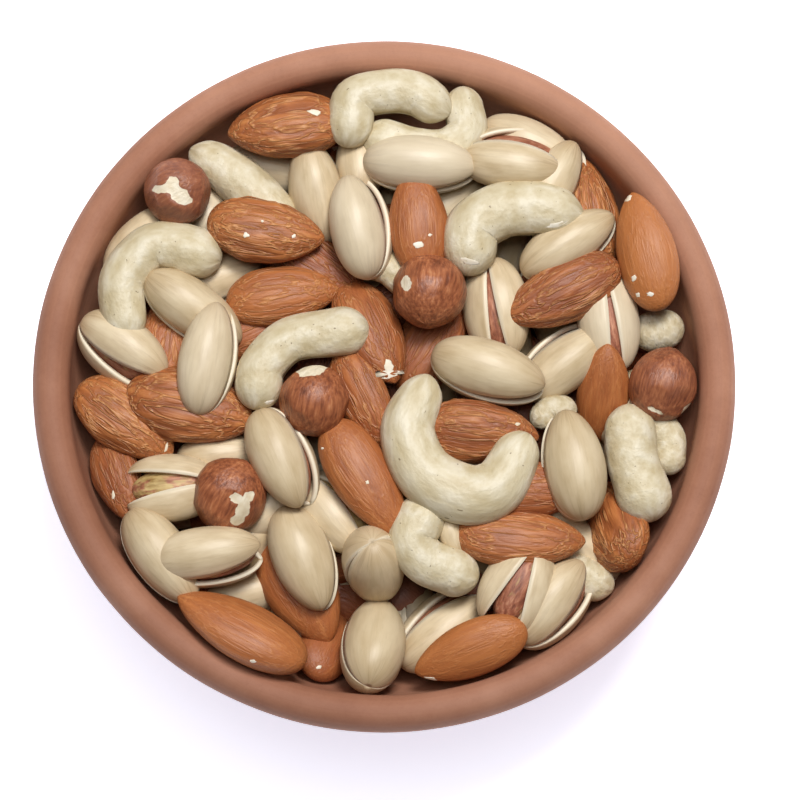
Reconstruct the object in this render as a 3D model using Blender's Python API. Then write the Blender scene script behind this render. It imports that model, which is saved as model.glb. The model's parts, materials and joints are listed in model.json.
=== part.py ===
"""A round clay bowl heaped with mixed nuts: almonds, cashews, pistachios in their shells and hazelnuts.

Two solids: the turned bowl, and the heap of nuts lying in it, fused into one piece.
The origin is the middle of the bowl's flat base, on the table, with +Z up.
"""

import math

import bmesh
import bpy
import numpy as np
from mathutils import Euler, Vector

MM = 0.001

# Driving dimensions of the bowl
RIM_RADIUS = 66 * MM
BOWL_HEIGHT = 46 * MM
BASE_RADIUS = 34 * MM
FLOOR_THICKNESS = 6 * MM
LIP_WIDTH = 6.8 * MM
LIP_HEIGHT = 4.2 * MM
HOLLOW_SQUARENESS = 2.0
OUTER_SQUARENESS = 1.8
BOWL_SIDES = 48
WALL_STEPS = 8
LIP_STEPS = 6

# Driving dimensions of the heap
HEAP_TOP = 52 * MM
HEAP_EDGE = 45 * MM
HEAP_RADIUS = 55 * MM
BED_DEPTH = 19 * MM
WALL_GAP = 0.45 * MM

# The core that joins the nuts: how deep it stays under them, and how finely it is drawn
CORE_DEPTH = 3.2 * MM
CORE_REACH = 52.5 * MM
CORE_UNDERSIDE = ((30 * MM, 12 * MM), (47 * MM, 23 * MM))
BED_RISE = 3 * MM
CORE_SIDES = 28
CORE_RINGS = 11
CORE_WINDOW = 2

# The exact solver leaves open edges where this many forms cross. Points that a union leaves nearer to each
# other than this become one.
SOLVER = "MANIFOLD"
WELD = 0.005 * MM

# The nuts are laid out as they are seen from this point, above and in front of the bowl
EYE = Vector((2.97, -104.6, 593.2)) * MM

# Height map on which the nuts settle
MAP_CELL = 1 * MM
MAP_HALF = 68

# A nut leans by these degrees to lie lower. It may press this far into those below, move this far in from
# where it shows to clear the wall, and rise this far over the even surface. What it leans, moves or presses
# further has a cost.
PITCHES = (-36, -24, -12, 0, 12, 24, 36)
ROLLS = (-24, -12, 0, 12, 24)
NUT_SINK = 5.5 * MM
MOST_MOVED = 1 * MM
MOST_RAISED = 1.5 * MM
RAISE_STEP = 0.5 * MM
LEAN_COST = 0.04 * MM
MISFIT_COST = 1.5

# For each kind: the exponents of its outline at the tip and at the blunt end, and its thickness for its width
OUTLINES = {
    "almond": (0.66, 0.48, 0.66),
    "pistachio": (0.55, 0.46, 0.92),
    "hazelnut": (0.54, 0.5, 0.98),
}
CASHEW_THICKNESS = 0.88

# How finely a nut is drawn: (sides, rings) in the solid, and for its trace in the height map
NUT_FACES = (8, 5)
CASHEW_FACES = (8, 8)
TRACE_FACES = (32, 20)

# A form of few faces lies inside the smooth one, so it is drawn this much wider to hold as much
FACET_FULLNESS = 1.05


def nut(name, x, y, heading, length, width, sunk, pitch=0, roll=0):
    """One straight nut. x and y are where its middle shows on the rim's plane, in millimetres, heading is the
    way its tip points, in degrees, and sunk is how far its top may lie under the heap's even surface."""
    return {
        "name": name,
        "kind": name.split("_")[0],
        "place": (x * MM, y * MM),
        "heading": heading,
        "length": length * MM,
        "width": width * MM,
        "sunk": sunk * MM,
        "pitch": pitch,
        "roll": roll,
    }


def cashew(name, bend, width, sunk, pitch=0, roll=0, ends=(1, 1)):
    """One cashew, along a bend through the points where its middle line shows on the rim's plane. ends is how
    thick its two ends are, for the thickness of its middle."""
    points = np.array(bend) * MM
    middle = points.mean(axis=0)
    row = nut(name, 0, 0, 0, 0, width, sunk, pitch, roll)
    row["place"] = tuple(middle)
    row["bend"] = points - middle
    row["ends"] = ends
    return row


# Every nut that shows, from the lowest to the highest
HEAP = [
    nut("almond_18", -50.4, -19.7, -70, 18.0, 10.0, 10.5, 10, 20),
    nut("pistachio_01", -48.2, 26.0, 45, 19.0, 11.0, 8),
    nut("almond_04", -12.4, 20.2, -35, 22.0, 12.5, 8),
    nut("almond_05", 40.5, 32.4, 100, 22.0, 12.0, 8, 0, 45),
    nut("almond_10", 17.9, -10.6, -5, 22.0, 12.5, 2.5, 0, 20),
    nut("almond_12", 9.0, 5.9, 60, 22.0, 12.5, 10.5),
    nut("almond_13", -3.6, -4.6, -63, 21.0, 10.5, 5, 0, 25),
    nut("almond_17", -41.0, 5.3, 90, 20.0, 11.5, 5),
    nut("almond_25", 27.1, -21.6, 0, 20.0, 11.5, 2.5),
    nut("almond_22", -11.3, -52.2, 75, 18.0, 11.0, 10.5, 0, 20),
    cashew("cashew_11", [(32.5, -35.0), (35.8, -37.4), (39.5, -38.9)], 8, 5, ends=(1, 0.85)),
    cashew("cashew_06", [(50.3, 8.5), (52.4, 8.9)], 8, 5),
    nut("pistachio_20", -8.5, -25.7, -45, 18.0, 11.0, 8),
    nut("almond_20", -27.0, -48.7, -28, 26.8, 14.0, 10.5),
    nut("almond_23", 43.3, -28.1, 105, 21.6, 14.3, 5),
    nut("almond_01", -19.2, 49.6, 187, 22.5, 14.3, 2.5),
    nut("pistachio_04", -12.9, 35.3, 100, 20.3, 11.3, 8),
    nut("pistachio_07", -4.6, 41.6, 90, 17.0, 10.0, 10.5),
    nut("pistachio_09", 28.5, 46.3, -25, 19.7, 10.5, 15.5),
    nut("pistachio_12", 21.0, 12.9, 97, 19.7, 11.3, 5),
    nut("pistachio_14", 33.2, 2.6, 40, 19.7, 11.3, 5),
    nut("pistachio_15", 41.9, 11.0, 98, 20.6, 10.8, 5),
    nut("pistachio_16", -49.8, 4.9, -38, 19.5, 11.2, 8),
    nut("pistachio_21", -2.0, -35.5, 90, 20.0, 12.0, 10.5, -72),
    nut("pistachio_28", 32.0, -44.4, 48, 19.5, 11.3, 8),
    cashew(
        "cashew_03",
        [(-34.8, 42.9), (-30.0, 39.8), (-25.6, 36.0), (-21.5, 31.5)],
        9.8,
        2.5,
        ends=(0.65, 1),
    ),
    nut("almond_07", 49.6, 24.1, 102, 23.3, 11.8, 2.5),
    nut("almond_03", -19.0, 15.2, 8, 21.6, 11.8, 5),
    nut("almond_02", -22.3, 28.0, -9, 22.5, 12.8, 0),
    nut("almond_11", -2.4, 8.2, -66, 22.6, 13.2, 8),
    nut("almond_21", -15.5, -40.2, -60, 22.5, 14.1, 8),
    nut("almond_09", 40.8, -3.1, 85, 20.0, 10.5, 2.5, 35),
    cashew(
        "cashew_02",
        [(-48.5, 10.4), (-48.9, 18.3), (-44.3, 24.2), (-39.6, 24.7), (-35.6, 23.5)],
        9.4,
        2,
        ends=(0.93, 1.12),
    ),
    nut("pistachio_10", 32.6, 37.3, 60, 19.5, 10.8, 13),
    nut("pistachio_11", 34.6, 25.1, 32, 20.6, 10.8, 5),
    nut("pistachio_17", -40.6, -21.2, 3, 20.6, 11.6, 8),
    nut("pistachio_13", 19.4, 0.9, -18, 22.1, 12.0, 0),
    nut("pistachio_23", 10.4, -47.4, 42, 20.6, 11.3, 8),
    nut("pistachio_24", -41.3, -34.1, -55, 21.0, 11.3, 5),
    nut("pistachio_27", 24.2, -40.6, 65, 19.5, 11.3, 5),
    nut("almond_16", -49.5, -8.4, -36, 22.1, 12.8, 5),
    nut("almond_06", 33.4, 16.2, 26, 24.0, 12.4, 2.5),
    nut("almond_24", 25.2, -30.3, -4, 24.4, 12.0, 2.5),
    nut("almond_19", 16.2, -52.5, 21, 22.5, 10.8, 0, 0, 20),
    cashew("cashew_08", [(6.7, -27.2), (5.2, -30.9), (7.6, -34.6), (13.1, -36.7)], 9.2, 5, ends=(1.1, 1.05)),
    cashew("cashew_10", [(46.1, -9.9), (46.4, -15.4), (48.2, -21.4)], 10.2, 0, ends=(0.9, 1.28)),
    nut("hazelnut_01", -40.3, 36.7, 30, 12.8, 12.8, -3, 30),
    nut("hazelnut_03", 53.0, -1.6, 75, 14.2, 12.8, -3, 10),
    nut("pistachio_08", 24.2, 42.1, 0, 19.5, 10.8, 10.5),
    nut("pistachio_19", -14.8, -34.2, -69, 21.0, 12.4, 5),
    nut("pistachio_22", -2.0, -50.9, 84, 20.6, 12.8, 0),
    nut("pistachio_25", -32.7, -34.1, 6, 20.8, 10.8, 2.5),
    nut("almond_15", -36.2, -6.1, -12, 25.3, 14.6, 2.5),
    nut("almond_14", -3.5, -19.3, -58, 25.3, 12.0, 2.5),
    cashew(
        "cashew_04",
        [(1.2, 47.8), (6.6, 46.4), (12.4, 46.4), (16.1, 49.6), (15.8, 54.9)],
        8.4,
        8,
        ends=(1.15, 0.9),
    ),
    cashew(
        "cashew_05",
        [(16.2, 23.9), (17.0, 28.4), (21.8, 31.5), (27.5, 32.2), (33.3, 31.4)],
        11.2,
        0,
        ends=(0.85, 0.8),
    ),
    cashew(
        "cashew_09",
        [(-8.3, 8.2), (-17.4, 6.8), (-22.4, 1.9), (-23.3, -1.7)],
        9,
        2.5,
        ends=(1.27, 1.08),
    ),
    nut("hazelnut_05", -28.7, -22.3, 60, 14.3, 14.3, 0, 30),
    nut("pistachio_02", -35.8, 12.6, -35, 21.6, 11.3, 2.5),
    nut("pistachio_18", -18.9, -15.5, -64, 20.3, 11.6, 2.5),
    nut("pistachio_26", 35.1, -16.9, 100, 21.0, 12.6, 0),
    cashew(
        "cashew_01",
        [(-6.2, 50.6), (-5.2, 55.2), (1.2, 56.8), (6.0, 56.3), (9.0, 54.5)],
        8.8,
        -4.5,
        ends=(1.1, 0.95),
    ),
    nut("hazelnut_04", -12.9, -4.6, 80, 13.5, 13.5, 0, 30),
    nut("pistachio_06", 6.8, 40.6, -4, 21.8, 11.6, 5),
    nut("almond_08", 6.4, 29.5, 95, 21.0, 11.5, 2.5, 40),
    nut("pistachio_05", -4.4, 28.5, 99, 20.2, 11.6, 0),
    nut("pistachio_03", -32.9, 3.2, 80, 21.8, 11.3, 0),
    nut("hazelnut_02", 8.4, 16.0, -95, 14.1, 14.1, 0, 20),
    cashew(
        "cashew_07",
        [(7.0, -3.5), (4.6, -10.5), (7.8, -18.4), (15.4, -22.3), (21.1, -20.6), (24.9, -14.2)],
        11.8,
        0,
        ends=(0.68, 0.66),
    ),
]


def clear_scene():
    for found in list(bpy.data.objects):
        bpy.data.objects.remove(found, do_unlink=True)


def make_material(name, colour, roughness):
    material = bpy.data.materials.new(name)
    material.use_nodes = True
    shader = material.node_tree.nodes["Principled BSDF"]
    shader.inputs["Base Color"].default_value = (*colour, 1)
    shader.inputs["Roughness"].default_value = roughness
    shader.inputs["Metallic"].default_value = 0
    return material


def add_object(name, mesh, material):
    piece = bpy.data.objects.new(name, mesh)
    bpy.context.scene.collection.objects.link(piece)
    mesh.materials.clear()
    mesh.materials.append(material)
    return piece


def mesh_of(name, points, faces):
    mesh = bpy.data.meshes.new(name)
    mesh.from_pydata([tuple(point) for point in points], [], faces)
    mesh.validate()
    return mesh


def hollow_radius(height):
    """The radius of the bowl's hollow at this height above the table."""
    spring = BOWL_HEIGHT - LIP_HEIGHT
    if height >= spring:
        return RIM_RADIUS - LIP_WIDTH
    fall = min(1, (spring - height) / (spring - FLOOR_THICKNESS))
    return (RIM_RADIUS - LIP_WIDTH) * (1 - fall**HOLLOW_SQUARENESS) ** (1 / HOLLOW_SQUARENESS)


def bowl_profile():
    """The bowl's section, from the middle of its floor, up the inside, over the lip and down the outside."""
    spring = BOWL_HEIGHT - LIP_HEIGHT
    points = [(0, FLOOR_THICKNESS)]
    for step in range(1, WALL_STEPS):
        turn = math.pi / 2 * step / WALL_STEPS
        height = spring - (spring - FLOOR_THICKNESS) * math.cos(turn) ** (2 / HOLLOW_SQUARENESS)
        points.append((hollow_radius(height), height))
    middle = RIM_RADIUS - LIP_WIDTH / 2
    for step in range(LIP_STEPS + 1):
        turn = math.pi * step / LIP_STEPS
        points.append((middle - LIP_WIDTH / 2 * math.cos(turn), spring + LIP_HEIGHT * math.sin(turn)))
    share = 1 - (BASE_RADIUS / RIM_RADIUS) ** OUTER_SQUARENESS
    for step in range(1, WALL_STEPS + 1):
        fall = step / WALL_STEPS
        radius = RIM_RADIUS * (1 - share * fall**OUTER_SQUARENESS) ** (1 / OUTER_SQUARENESS)
        points.append((radius, spring * (1 - fall)))
    points.append((0, 0))
    return points


def make_bowl():
    """The section turned round the bowl's axis by a Screw."""
    profile = bowl_profile()
    mesh = bpy.data.meshes.new("bowl")
    edges = [(index, index + 1) for index in range(len(profile) - 1)]
    mesh.from_pydata([(radius, 0, height) for radius, height in profile], edges, [])
    clay = make_material("clay", (0.42, 0.22, 0.15), 0.75)
    bowl = add_object("bowl", mesh, clay)
    turn = bowl.modifiers.new("turned", "SCREW")
    turn.steps = BOWL_SIDES
    turn.render_steps = BOWL_SIDES
    turn.use_merge_vertices = True
    turn.merge_threshold = 0.1 * MM
    turn.use_smooth_shade = True
    return bowl


def closed_form(rings, ends, sides):
    """Points and faces of a closed form: its two end points, then rings of as many points as it has sides."""
    points = [ends[0], *[point for ring in rings for point in ring], ends[1]]
    faces = []
    last = len(points) - 1
    for side in range(sides):
        after = (side + 1) % sides
        faces.append((0, 1 + after, 1 + side))
        for ring in range(len(rings) - 1):
            low, high = 1 + ring * sides, 1 + (ring + 1) * sides
            faces.append((low + side, low + after, high + after, high + side))
        top = 1 + (len(rings) - 1) * sides
        faces.append((top + side, top + after, last))
    return np.array(points), faces


def straight_form(row, sides, rings):
    """An almond, pistachio or hazelnut along X, its tip at +X and its middle at the origin."""
    tip, base, flatness = OUTLINES[row["kind"]]
    widest = (base - tip) / (base + tip)
    fullest = (1 - widest) ** tip * (1 + widest) ** base
    drawn = []
    for ring in range(1, rings + 1):
        along = -math.cos(math.pi * ring / (rings + 1))
        size = (1 - along) ** tip * (1 + along) ** base / fullest
        circle = []
        for side in range(sides):
            turn = 2 * math.pi * (side + 0.5) / sides
            across = row["width"] / 2 * size * math.cos(turn)
            up = row["width"] / 2 * flatness * size * math.sin(turn)
            circle.append((row["length"] / 2 * along, across, up))
        drawn.append(circle)
    ends = ((-row["length"] / 2, 0, 0), (row["length"] / 2, 0, 0))
    return closed_form(drawn, ends, sides)


def along_bend(bend, amount):
    """The point and the direction at this share of a smooth line through the bend's points."""
    spans = np.linalg.norm(np.diff(bend, axis=0), axis=1)
    marks = np.concatenate([[0], np.cumsum(spans)])
    at = amount * marks[-1]
    span = int(np.clip(np.searchsorted(marks, at) - 1, 0, len(spans) - 1))
    share = (at - marks[span]) / spans[span]
    first, second = bend[span], bend[span + 1]
    before = bend[span - 1] if span > 0 else 2 * first - second
    behind = bend[span + 2] if span + 2 < len(bend) else 2 * second - first
    slope_in, slope_out = (second - before) / 2, (behind - first) / 2
    cubic = (
        (2 * share**3 - 3 * share**2 + 1) * first
        + (share**3 - 2 * share**2 + share) * slope_in
        + (3 * share**2 - 2 * share**3) * second
        + (share**3 - share**2) * slope_out
    )
    heading = (
        (6 * share**2 - 6 * share) * (first - second)
        + (3 * share**2 - 4 * share + 1) * slope_in
        + (3 * share**2 - 2 * share) * slope_out
    )
    return cubic, heading / np.linalg.norm(heading)


def bent_form(row, sides, rings):
    """A cashew: a slightly flat tube along its bend, as thick at its two ends as the row says, with a round
    cap past each end of the bend."""
    drawn = []
    half = row["width"] / 2
    caps = [half * share for share in row["ends"]]
    length = np.linalg.norm(np.diff(row["bend"], axis=0), axis=1).sum()
    total = caps[0] + length + caps[1]
    for ring in range(1, rings + 1):
        spread = -math.cos(math.pi * ring / (rings + 1))
        end = 0 if spread < 0 else 1
        at = total * (1 + spread) / 2 - caps[0]
        on_bend = min(max(at, 0), length)
        middle, ahead = along_bend(row["bend"], on_bend / length)
        middle = middle + ahead * (at - on_bend)
        side_way = np.array((-ahead[1], ahead[0]))
        from_end = total * (1 - abs(spread)) / 2
        roundness = math.sqrt(1 - max(0, 1 - from_end / caps[end]) ** 2)
        size = half * (1 + (row["ends"][end] - 1) * spread**2) * roundness
        circle = []
        for side in range(sides):
            turn = 2 * math.pi * (side + 0.5) / sides
            flat = middle + side_way * size * math.cos(turn)
            circle.append((flat[0], flat[1], size * CASHEW_THICKNESS * math.sin(turn)))
        drawn.append(circle)
    ends = []
    for amount, way in ((0, -caps[0]), (1, caps[1])):
        middle, ahead = along_bend(row["bend"], amount)
        ends.append((*(middle + ahead * way), 0))
    return closed_form(drawn, ends, sides)


def form_of(row, sides, rings):
    if row["kind"] == "cashew":
        return bent_form(row, sides, rings)
    return straight_form(row, sides, rings)


def even_surface(x, y):
    """The height of the heap's even surface: a low dome."""
    return HEAP_TOP - (HEAP_TOP - HEAP_EDGE) * (x * x + y * y) / HEAP_RADIUS**2


def free_radii(heights):
    """How far from the bowl's axis a nut may reach at these heights, clear of the wall and the round lip."""
    spring = BOWL_HEIGHT - LIP_HEIGHT
    free = []
    for height in heights:
        climb = (height - spring) / (LIP_HEIGHT + WALL_GAP)
        if climb <= 0:
            free.append(hollow_radius(max(height, FLOOR_THICKNESS + MM)) - WALL_GAP)
        elif climb < 1:
            half = LIP_WIDTH / 2 + WALL_GAP
            free.append(RIM_RADIUS - LIP_WIDTH / 2 - half * math.sqrt(1 - climb * climb))
        else:
            free.append(RIM_RADIUS)
    return np.array(free)


FREE_HEIGHTS = np.arange(0, 2 * BOWL_HEIGHT, 0.5 * MM)
FREE_RADII = free_radii(FREE_HEIGHTS)


def bed_map():
    """Heights of the bed of hidden nuts under those that show, in a square of cells."""
    reach = np.arange(-MAP_HALF, MAP_HALF + 1) * MAP_CELL
    return even_surface(reach[:, None], reach[None, :]) - BED_DEPTH


def cells_of(points):
    cells = np.rint(points[:, :2] / MAP_CELL).astype(int) + MAP_HALF
    return tuple(np.clip(cells, 0, 2 * MAP_HALF).T)


def seen_at(place, height):
    """The point at this height that shows, from the eye, at a place on the rim's plane."""
    aim = Vector((*place, BOWL_HEIGHT))
    return np.array(EYE + (aim - EYE) * ((EYE.z - height) / (EYE.z - BOWL_HEIGHT)))


def cleared_middle(points, place, height):
    """Where the nut's middle goes at this height, and how far in that is, to clear the wall, from where it
    shows."""
    middle = seen_at(place, height)
    moved = 0
    for _ in range(3):
        placed = points + middle
        reach = np.hypot(placed[:, 0], placed[:, 1])
        over = reach - np.interp(placed[:, 2], FREE_HEIGHTS, FREE_RADII)
        worst = int(over.argmax())
        if over[worst] <= 0:
            break
        middle[:2] -= placed[worst, :2] / reach[worst] * over[worst]
        moved += over[worst]
    return middle, moved


def turned(points, row, pitch, roll):
    spin = Euler((math.radians(roll), -math.radians(pitch), math.radians(row["heading"])), "XYZ")
    return points @ np.array(spin.to_matrix()).T


def rest(points, row, surface):
    """Raises a nut from its own level until it clears the wall and those below, or reaches the highest level.
    Returns what that costs, and its middle."""
    even = even_surface(*row["place"])
    top = points[:, 2].max()
    height = even - row["sunk"] - top
    highest = even + MOST_RAISED - top
    _, least_moved = cleared_middle(points, row["place"], highest)
    while True:
        middle, moved = cleared_middle(points, row["place"], height)
        resting = float((surface[cells_of(points + middle)] - points[:, 2]).max()) - NUT_SINK
        if height >= highest or (height >= resting and moved <= least_moved + MOST_MOVED):
            break
        height = min(highest, height + RAISE_STEP)
    return height + top + MISFIT_COST * (moved + max(0, resting - height)), middle


def settle(rows):
    """Lays each nut on those before it. Returns each one's turn and middle, and the map of the heap's
    surface."""
    surface = bed_map()
    settled = []
    for row in rows:
        trace, _ = form_of(row, *TRACE_FACES)
        best = None
        for pitch in PITCHES:
            for roll in ROLLS:
                turn = (row["pitch"] + pitch, row["roll"] + roll)
                points = turned(trace, row, *turn)
                cost, middle = rest(points, row, surface)
                cost += LEAN_COST * (abs(pitch) + abs(roll))
                if best is None or cost < best[0]:
                    best = (cost, turn, points + middle, middle)
        _, turn, placed, middle = best
        np.maximum.at(surface, cells_of(placed), placed[:, 2])
        settled.append((row, turn, middle))
    return settled, surface


def core_height(surface, x, y):
    """A little under the lowest point of the heap's surface around here, and into the nuts on the bed."""
    (across,), (along,) = cells_of(np.array([(x, y)]))
    around = surface[
        across - CORE_WINDOW : across + CORE_WINDOW + 1, along - CORE_WINDOW : along + CORE_WINDOW + 1
    ]
    return max(float(around.min()) - CORE_DEPTH, even_surface(x, y) - BED_DEPTH + BED_RISE)


def make_core(surface, material):
    """The smooth mass under the nuts. Its top follows the heap, low enough to show only between them."""
    turns = [2 * math.pi * side / CORE_SIDES for side in range(CORE_SIDES)]
    rings = []
    for radius, height in CORE_UNDERSIDE:
        rings.append([(radius * math.cos(turn), radius * math.sin(turn), height) for turn in turns])
    for ring in range(CORE_RINGS, 0, -1):
        radius = CORE_REACH * ring / CORE_RINGS
        circle = []
        for turn in turns:
            x, y = radius * math.cos(turn), radius * math.sin(turn)
            circle.append((x, y, core_height(surface, x, y)))
        rings.append(circle)
    ends = ((0, 0, CORE_UNDERSIDE[0][1]), (0, 0, core_height(surface, 0, 0)))
    points, faces = closed_form(rings, ends, CORE_SIDES)
    return add_object("nut_heap", mesh_of("nut_heap", points, faces), material)


def keep_largest(mesh):
    """Joins points that coincide, drops loose scraps and the walls of sealed hollows, and keeps the outer
    form."""
    work = bmesh.new()
    work.from_mesh(mesh)
    bmesh.ops.remove_doubles(work, verts=work.verts, dist=WELD)
    waiting = set(work.verts)
    groups = []
    while waiting:
        group = {waiting.pop()}
        edge = list(group)
        while edge:
            near = edge.pop()
            for link in near.link_edges:
                other = link.other_vert(near)
                if other not in group:
                    group.add(other)
                    edge.append(other)
        waiting -= group
        groups.append(group)
    largest = max(groups, key=len)
    spare = [vert for group in groups if group is not largest for vert in group]
    print("loose or hidden groups dropped:", len(groups) - 1, "with", len(spare), "points")
    bmesh.ops.delete(work, geom=spare, context="VERTS")
    work.to_mesh(mesh)
    work.free()


def run_boolean(piece, operation, collection=None, cutter=None):
    """Joins a collection to the piece, or cuts the cutter from it, and makes the result its plain mesh."""
    work = piece.modifiers.new(operation.lower(), "BOOLEAN")
    work.operation = operation
    work.solver = SOLVER
    if collection:
        work.operand_type = "COLLECTION"
        work.collection = collection
    else:
        work.object = cutter
    bpy.context.view_layer.update()
    graph = bpy.context.evaluated_depsgraph_get()
    result = bpy.data.meshes.new_from_object(piece.evaluated_get(graph))
    piece.modifiers.remove(work)
    piece.data = result
    result.name = piece.name


def make_clearance():
    """What the heap has to stay clear of: the bowl's wall and lip, grown by the gap, as one turned ring."""
    section = [(RIM_RADIUS + MM, FLOOR_THICKNESS), (RIM_RADIUS + MM, BOWL_HEIGHT + WALL_GAP)]
    lip = RIM_RADIUS - LIP_WIDTH / 2
    spring = BOWL_HEIGHT - LIP_HEIGHT
    for step in range(LIP_STEPS + 1):
        turn = math.pi / 2 * (1 + step / LIP_STEPS)
        half = LIP_WIDTH / 2 + WALL_GAP
        height = spring + (LIP_HEIGHT + WALL_GAP) * math.sin(turn)
        section.append((lip + half * math.cos(turn), height))
    for step in range(1, WALL_STEPS):
        turn = math.pi / 2 * step / WALL_STEPS
        height = spring - (spring - FLOOR_THICKNESS) * math.sin(turn)
        section.append((hollow_radius(height) - WALL_GAP, height))
    points = []
    faces = []
    count = len(section)
    for side in range(BOWL_SIDES):
        turn = 2 * math.pi * side / BOWL_SIDES
        after = (side + 1) % BOWL_SIDES
        for index, (radius, height) in enumerate(section):
            points.append((radius * math.cos(turn), radius * math.sin(turn), height))
            behind = (index + 1) % count
            faces.append(
                (
                    side * count + index,
                    after * count + index,
                    after * count + behind,
                    side * count + behind,
                )
            )
    ring = bpy.data.objects.new("clearance", mesh_of("clearance", points, faces))
    bpy.context.scene.collection.objects.link(ring)
    return ring


def make_heap():
    """The nuts fused onto the core by one union, then cut clear of the bowl."""
    settled, surface = settle(HEAP)
    brown = make_material("nuts", (0.45, 0.25, 0.13), 0.6)
    heap = make_core(surface, brown)
    pile = bpy.data.collections.new("pile")
    bpy.context.scene.collection.children.link(pile)
    for row, turn, middle in settled:
        sides, rings = CASHEW_FACES if row["kind"] == "cashew" else NUT_FACES
        points, faces = form_of({**row, "width": row["width"] * FACET_FULLNESS}, sides, rings)
        mesh = mesh_of(row["name"], turned(points, row, *turn) + middle, faces)
        pile.objects.link(bpy.data.objects.new(row["name"], mesh))
    run_boolean(heap, "UNION", collection=pile)
    keep_largest(heap.data)
    ring = make_clearance()
    run_boolean(heap, "DIFFERENCE", cutter=ring)
    keep_largest(heap.data)
    for spare in [*pile.objects, ring]:
        bpy.data.objects.remove(spare, do_unlink=True)
    bpy.data.collections.remove(pile)
    heights = [vert.co.z / MM for vert in heap.data.vertices]
    print("heap: points", len(heights), "from", round(min(heights), 1), "to", round(max(heights), 1), "mm")


def main():
    clear_scene()
    make_bowl()
    make_heap()


main()
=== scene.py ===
# %% [markdown]
# # A clay bowl of mixed nuts
#
# A round unglazed bowl, 132 mm across, heaped with almonds, cashews, pistachios in their split shells and
# hazelnuts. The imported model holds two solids, the bowl and the heap. Here both get their real surfaces: the
# bowl is turned again more finely, and the heap is replaced by its single nuts. Each lies where the solid has
# it, but for five that lean higher on the lip. Sizes are in metres, and the constants below are written in
# millimetres times MM.

# %% The frame and the tools
import json
import math
import random

import bmesh
import bpy
import numpy as np
from mathutils import Euler, Matrix, Vector, bvhtree, noise

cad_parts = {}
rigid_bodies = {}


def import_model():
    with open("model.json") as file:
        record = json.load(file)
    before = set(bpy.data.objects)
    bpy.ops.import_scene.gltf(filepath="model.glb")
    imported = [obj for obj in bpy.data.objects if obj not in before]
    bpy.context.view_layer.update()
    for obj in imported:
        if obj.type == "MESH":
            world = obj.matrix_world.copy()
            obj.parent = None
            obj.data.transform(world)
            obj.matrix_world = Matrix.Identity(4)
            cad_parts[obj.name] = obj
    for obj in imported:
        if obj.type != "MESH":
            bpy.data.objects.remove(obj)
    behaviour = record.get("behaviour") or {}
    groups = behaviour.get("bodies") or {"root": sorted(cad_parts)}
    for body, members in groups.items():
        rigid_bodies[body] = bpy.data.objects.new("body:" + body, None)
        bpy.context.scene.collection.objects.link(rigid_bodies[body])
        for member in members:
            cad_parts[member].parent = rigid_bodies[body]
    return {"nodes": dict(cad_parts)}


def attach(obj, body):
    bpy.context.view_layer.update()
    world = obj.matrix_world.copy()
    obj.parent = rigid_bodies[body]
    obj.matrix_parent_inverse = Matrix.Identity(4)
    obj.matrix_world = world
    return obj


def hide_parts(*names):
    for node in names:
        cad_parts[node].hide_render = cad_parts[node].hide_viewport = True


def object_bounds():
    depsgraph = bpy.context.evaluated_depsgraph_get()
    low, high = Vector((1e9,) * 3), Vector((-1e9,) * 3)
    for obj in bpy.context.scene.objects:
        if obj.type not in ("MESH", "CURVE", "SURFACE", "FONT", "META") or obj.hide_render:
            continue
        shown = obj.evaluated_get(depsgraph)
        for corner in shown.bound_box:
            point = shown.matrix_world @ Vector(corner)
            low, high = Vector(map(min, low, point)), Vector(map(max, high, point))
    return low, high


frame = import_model()
CAD_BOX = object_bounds()
MM = 0.001
SEED = 12
cad_size = [round((high - low) / MM, 1) for low, high in zip(*CAD_BOX)]
print("CAD nodes:", sorted(frame["nodes"]), "in a box of", cad_size, "mm")

# %% [markdown]
# ## The sizes
#
# These are the sizes that the solids were made with. The bowl's hollow is an ellipse that springs from the
# lip, and its outside swells a little less. The heap's even surface is a low dome, and a bed of hidden nuts
# lies under those that show.

# %% The bowl's and the heap's sizes
RIM_RADIUS = 66 * MM
BOWL_HEIGHT = 46 * MM
BASE_RADIUS = 34 * MM
FLOOR_THICKNESS = 6 * MM
LIP_WIDTH = 6.8 * MM
LIP_HEIGHT = 4.2 * MM
HOLLOW_SQUARENESS = 2.0
OUTER_SQUARENESS = 1.8

HEAP_TOP = 52 * MM
HEAP_EDGE = 45 * MM
HEAP_RADIUS = 55 * MM
BED_DEPTH = 19 * MM
WALL_GAP = 0.45 * MM
print("the bowl is", round(2 * RIM_RADIUS / MM), "mm across and", round(BOWL_HEIGHT / MM), "mm high")

# %% [markdown]
# ## Small helpers for node trees
#
# Materials and Geometry Nodes are both trees of nodes. `add` makes one node, gives its sockets values or
# links, and returns it, so that a tree reads from its inputs to its output like a recipe. The other three do
# sums with it.

# %% Helpers for node trees
def add(tree, kind, sockets=None, **settings):
    """One new node. A socket is given as a value, or as another node's output to link from."""
    made = tree.nodes.new(kind)
    for name, value in settings.items():
        setattr(made, name, value)
    for key, value in (sockets or {}).items():
        if isinstance(value, bpy.types.NodeSocket):
            tree.links.new(value, made.inputs[key])
        else:
            made.inputs[key].default_value = value
    return made


def calc(tree, operation, first, second=0.0, clamp=False):
    """The result of one sum on two numbers or sockets."""
    return add(tree, "ShaderNodeMath", {0: first, 1: second}, operation=operation, use_clamp=clamp).outputs[0]


def times(tree, first, second, clamp=False):
    return calc(tree, "MULTIPLY", first, second, clamp)


def plus(tree, first, second):
    return calc(tree, "ADD", first, second)


print("node helpers ready")

# %% [markdown]
# ## The forms of the nuts
#
# An almond, a pistachio or a hazelnut is a closed form round a straight line: its outline rises from a blunt
# end and falls to a tip, by two exponents. A cashew is a blunt tube along a bend. The solids use the same
# forms with few faces, so the nuts drawn here lie where the solids have them.

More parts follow.
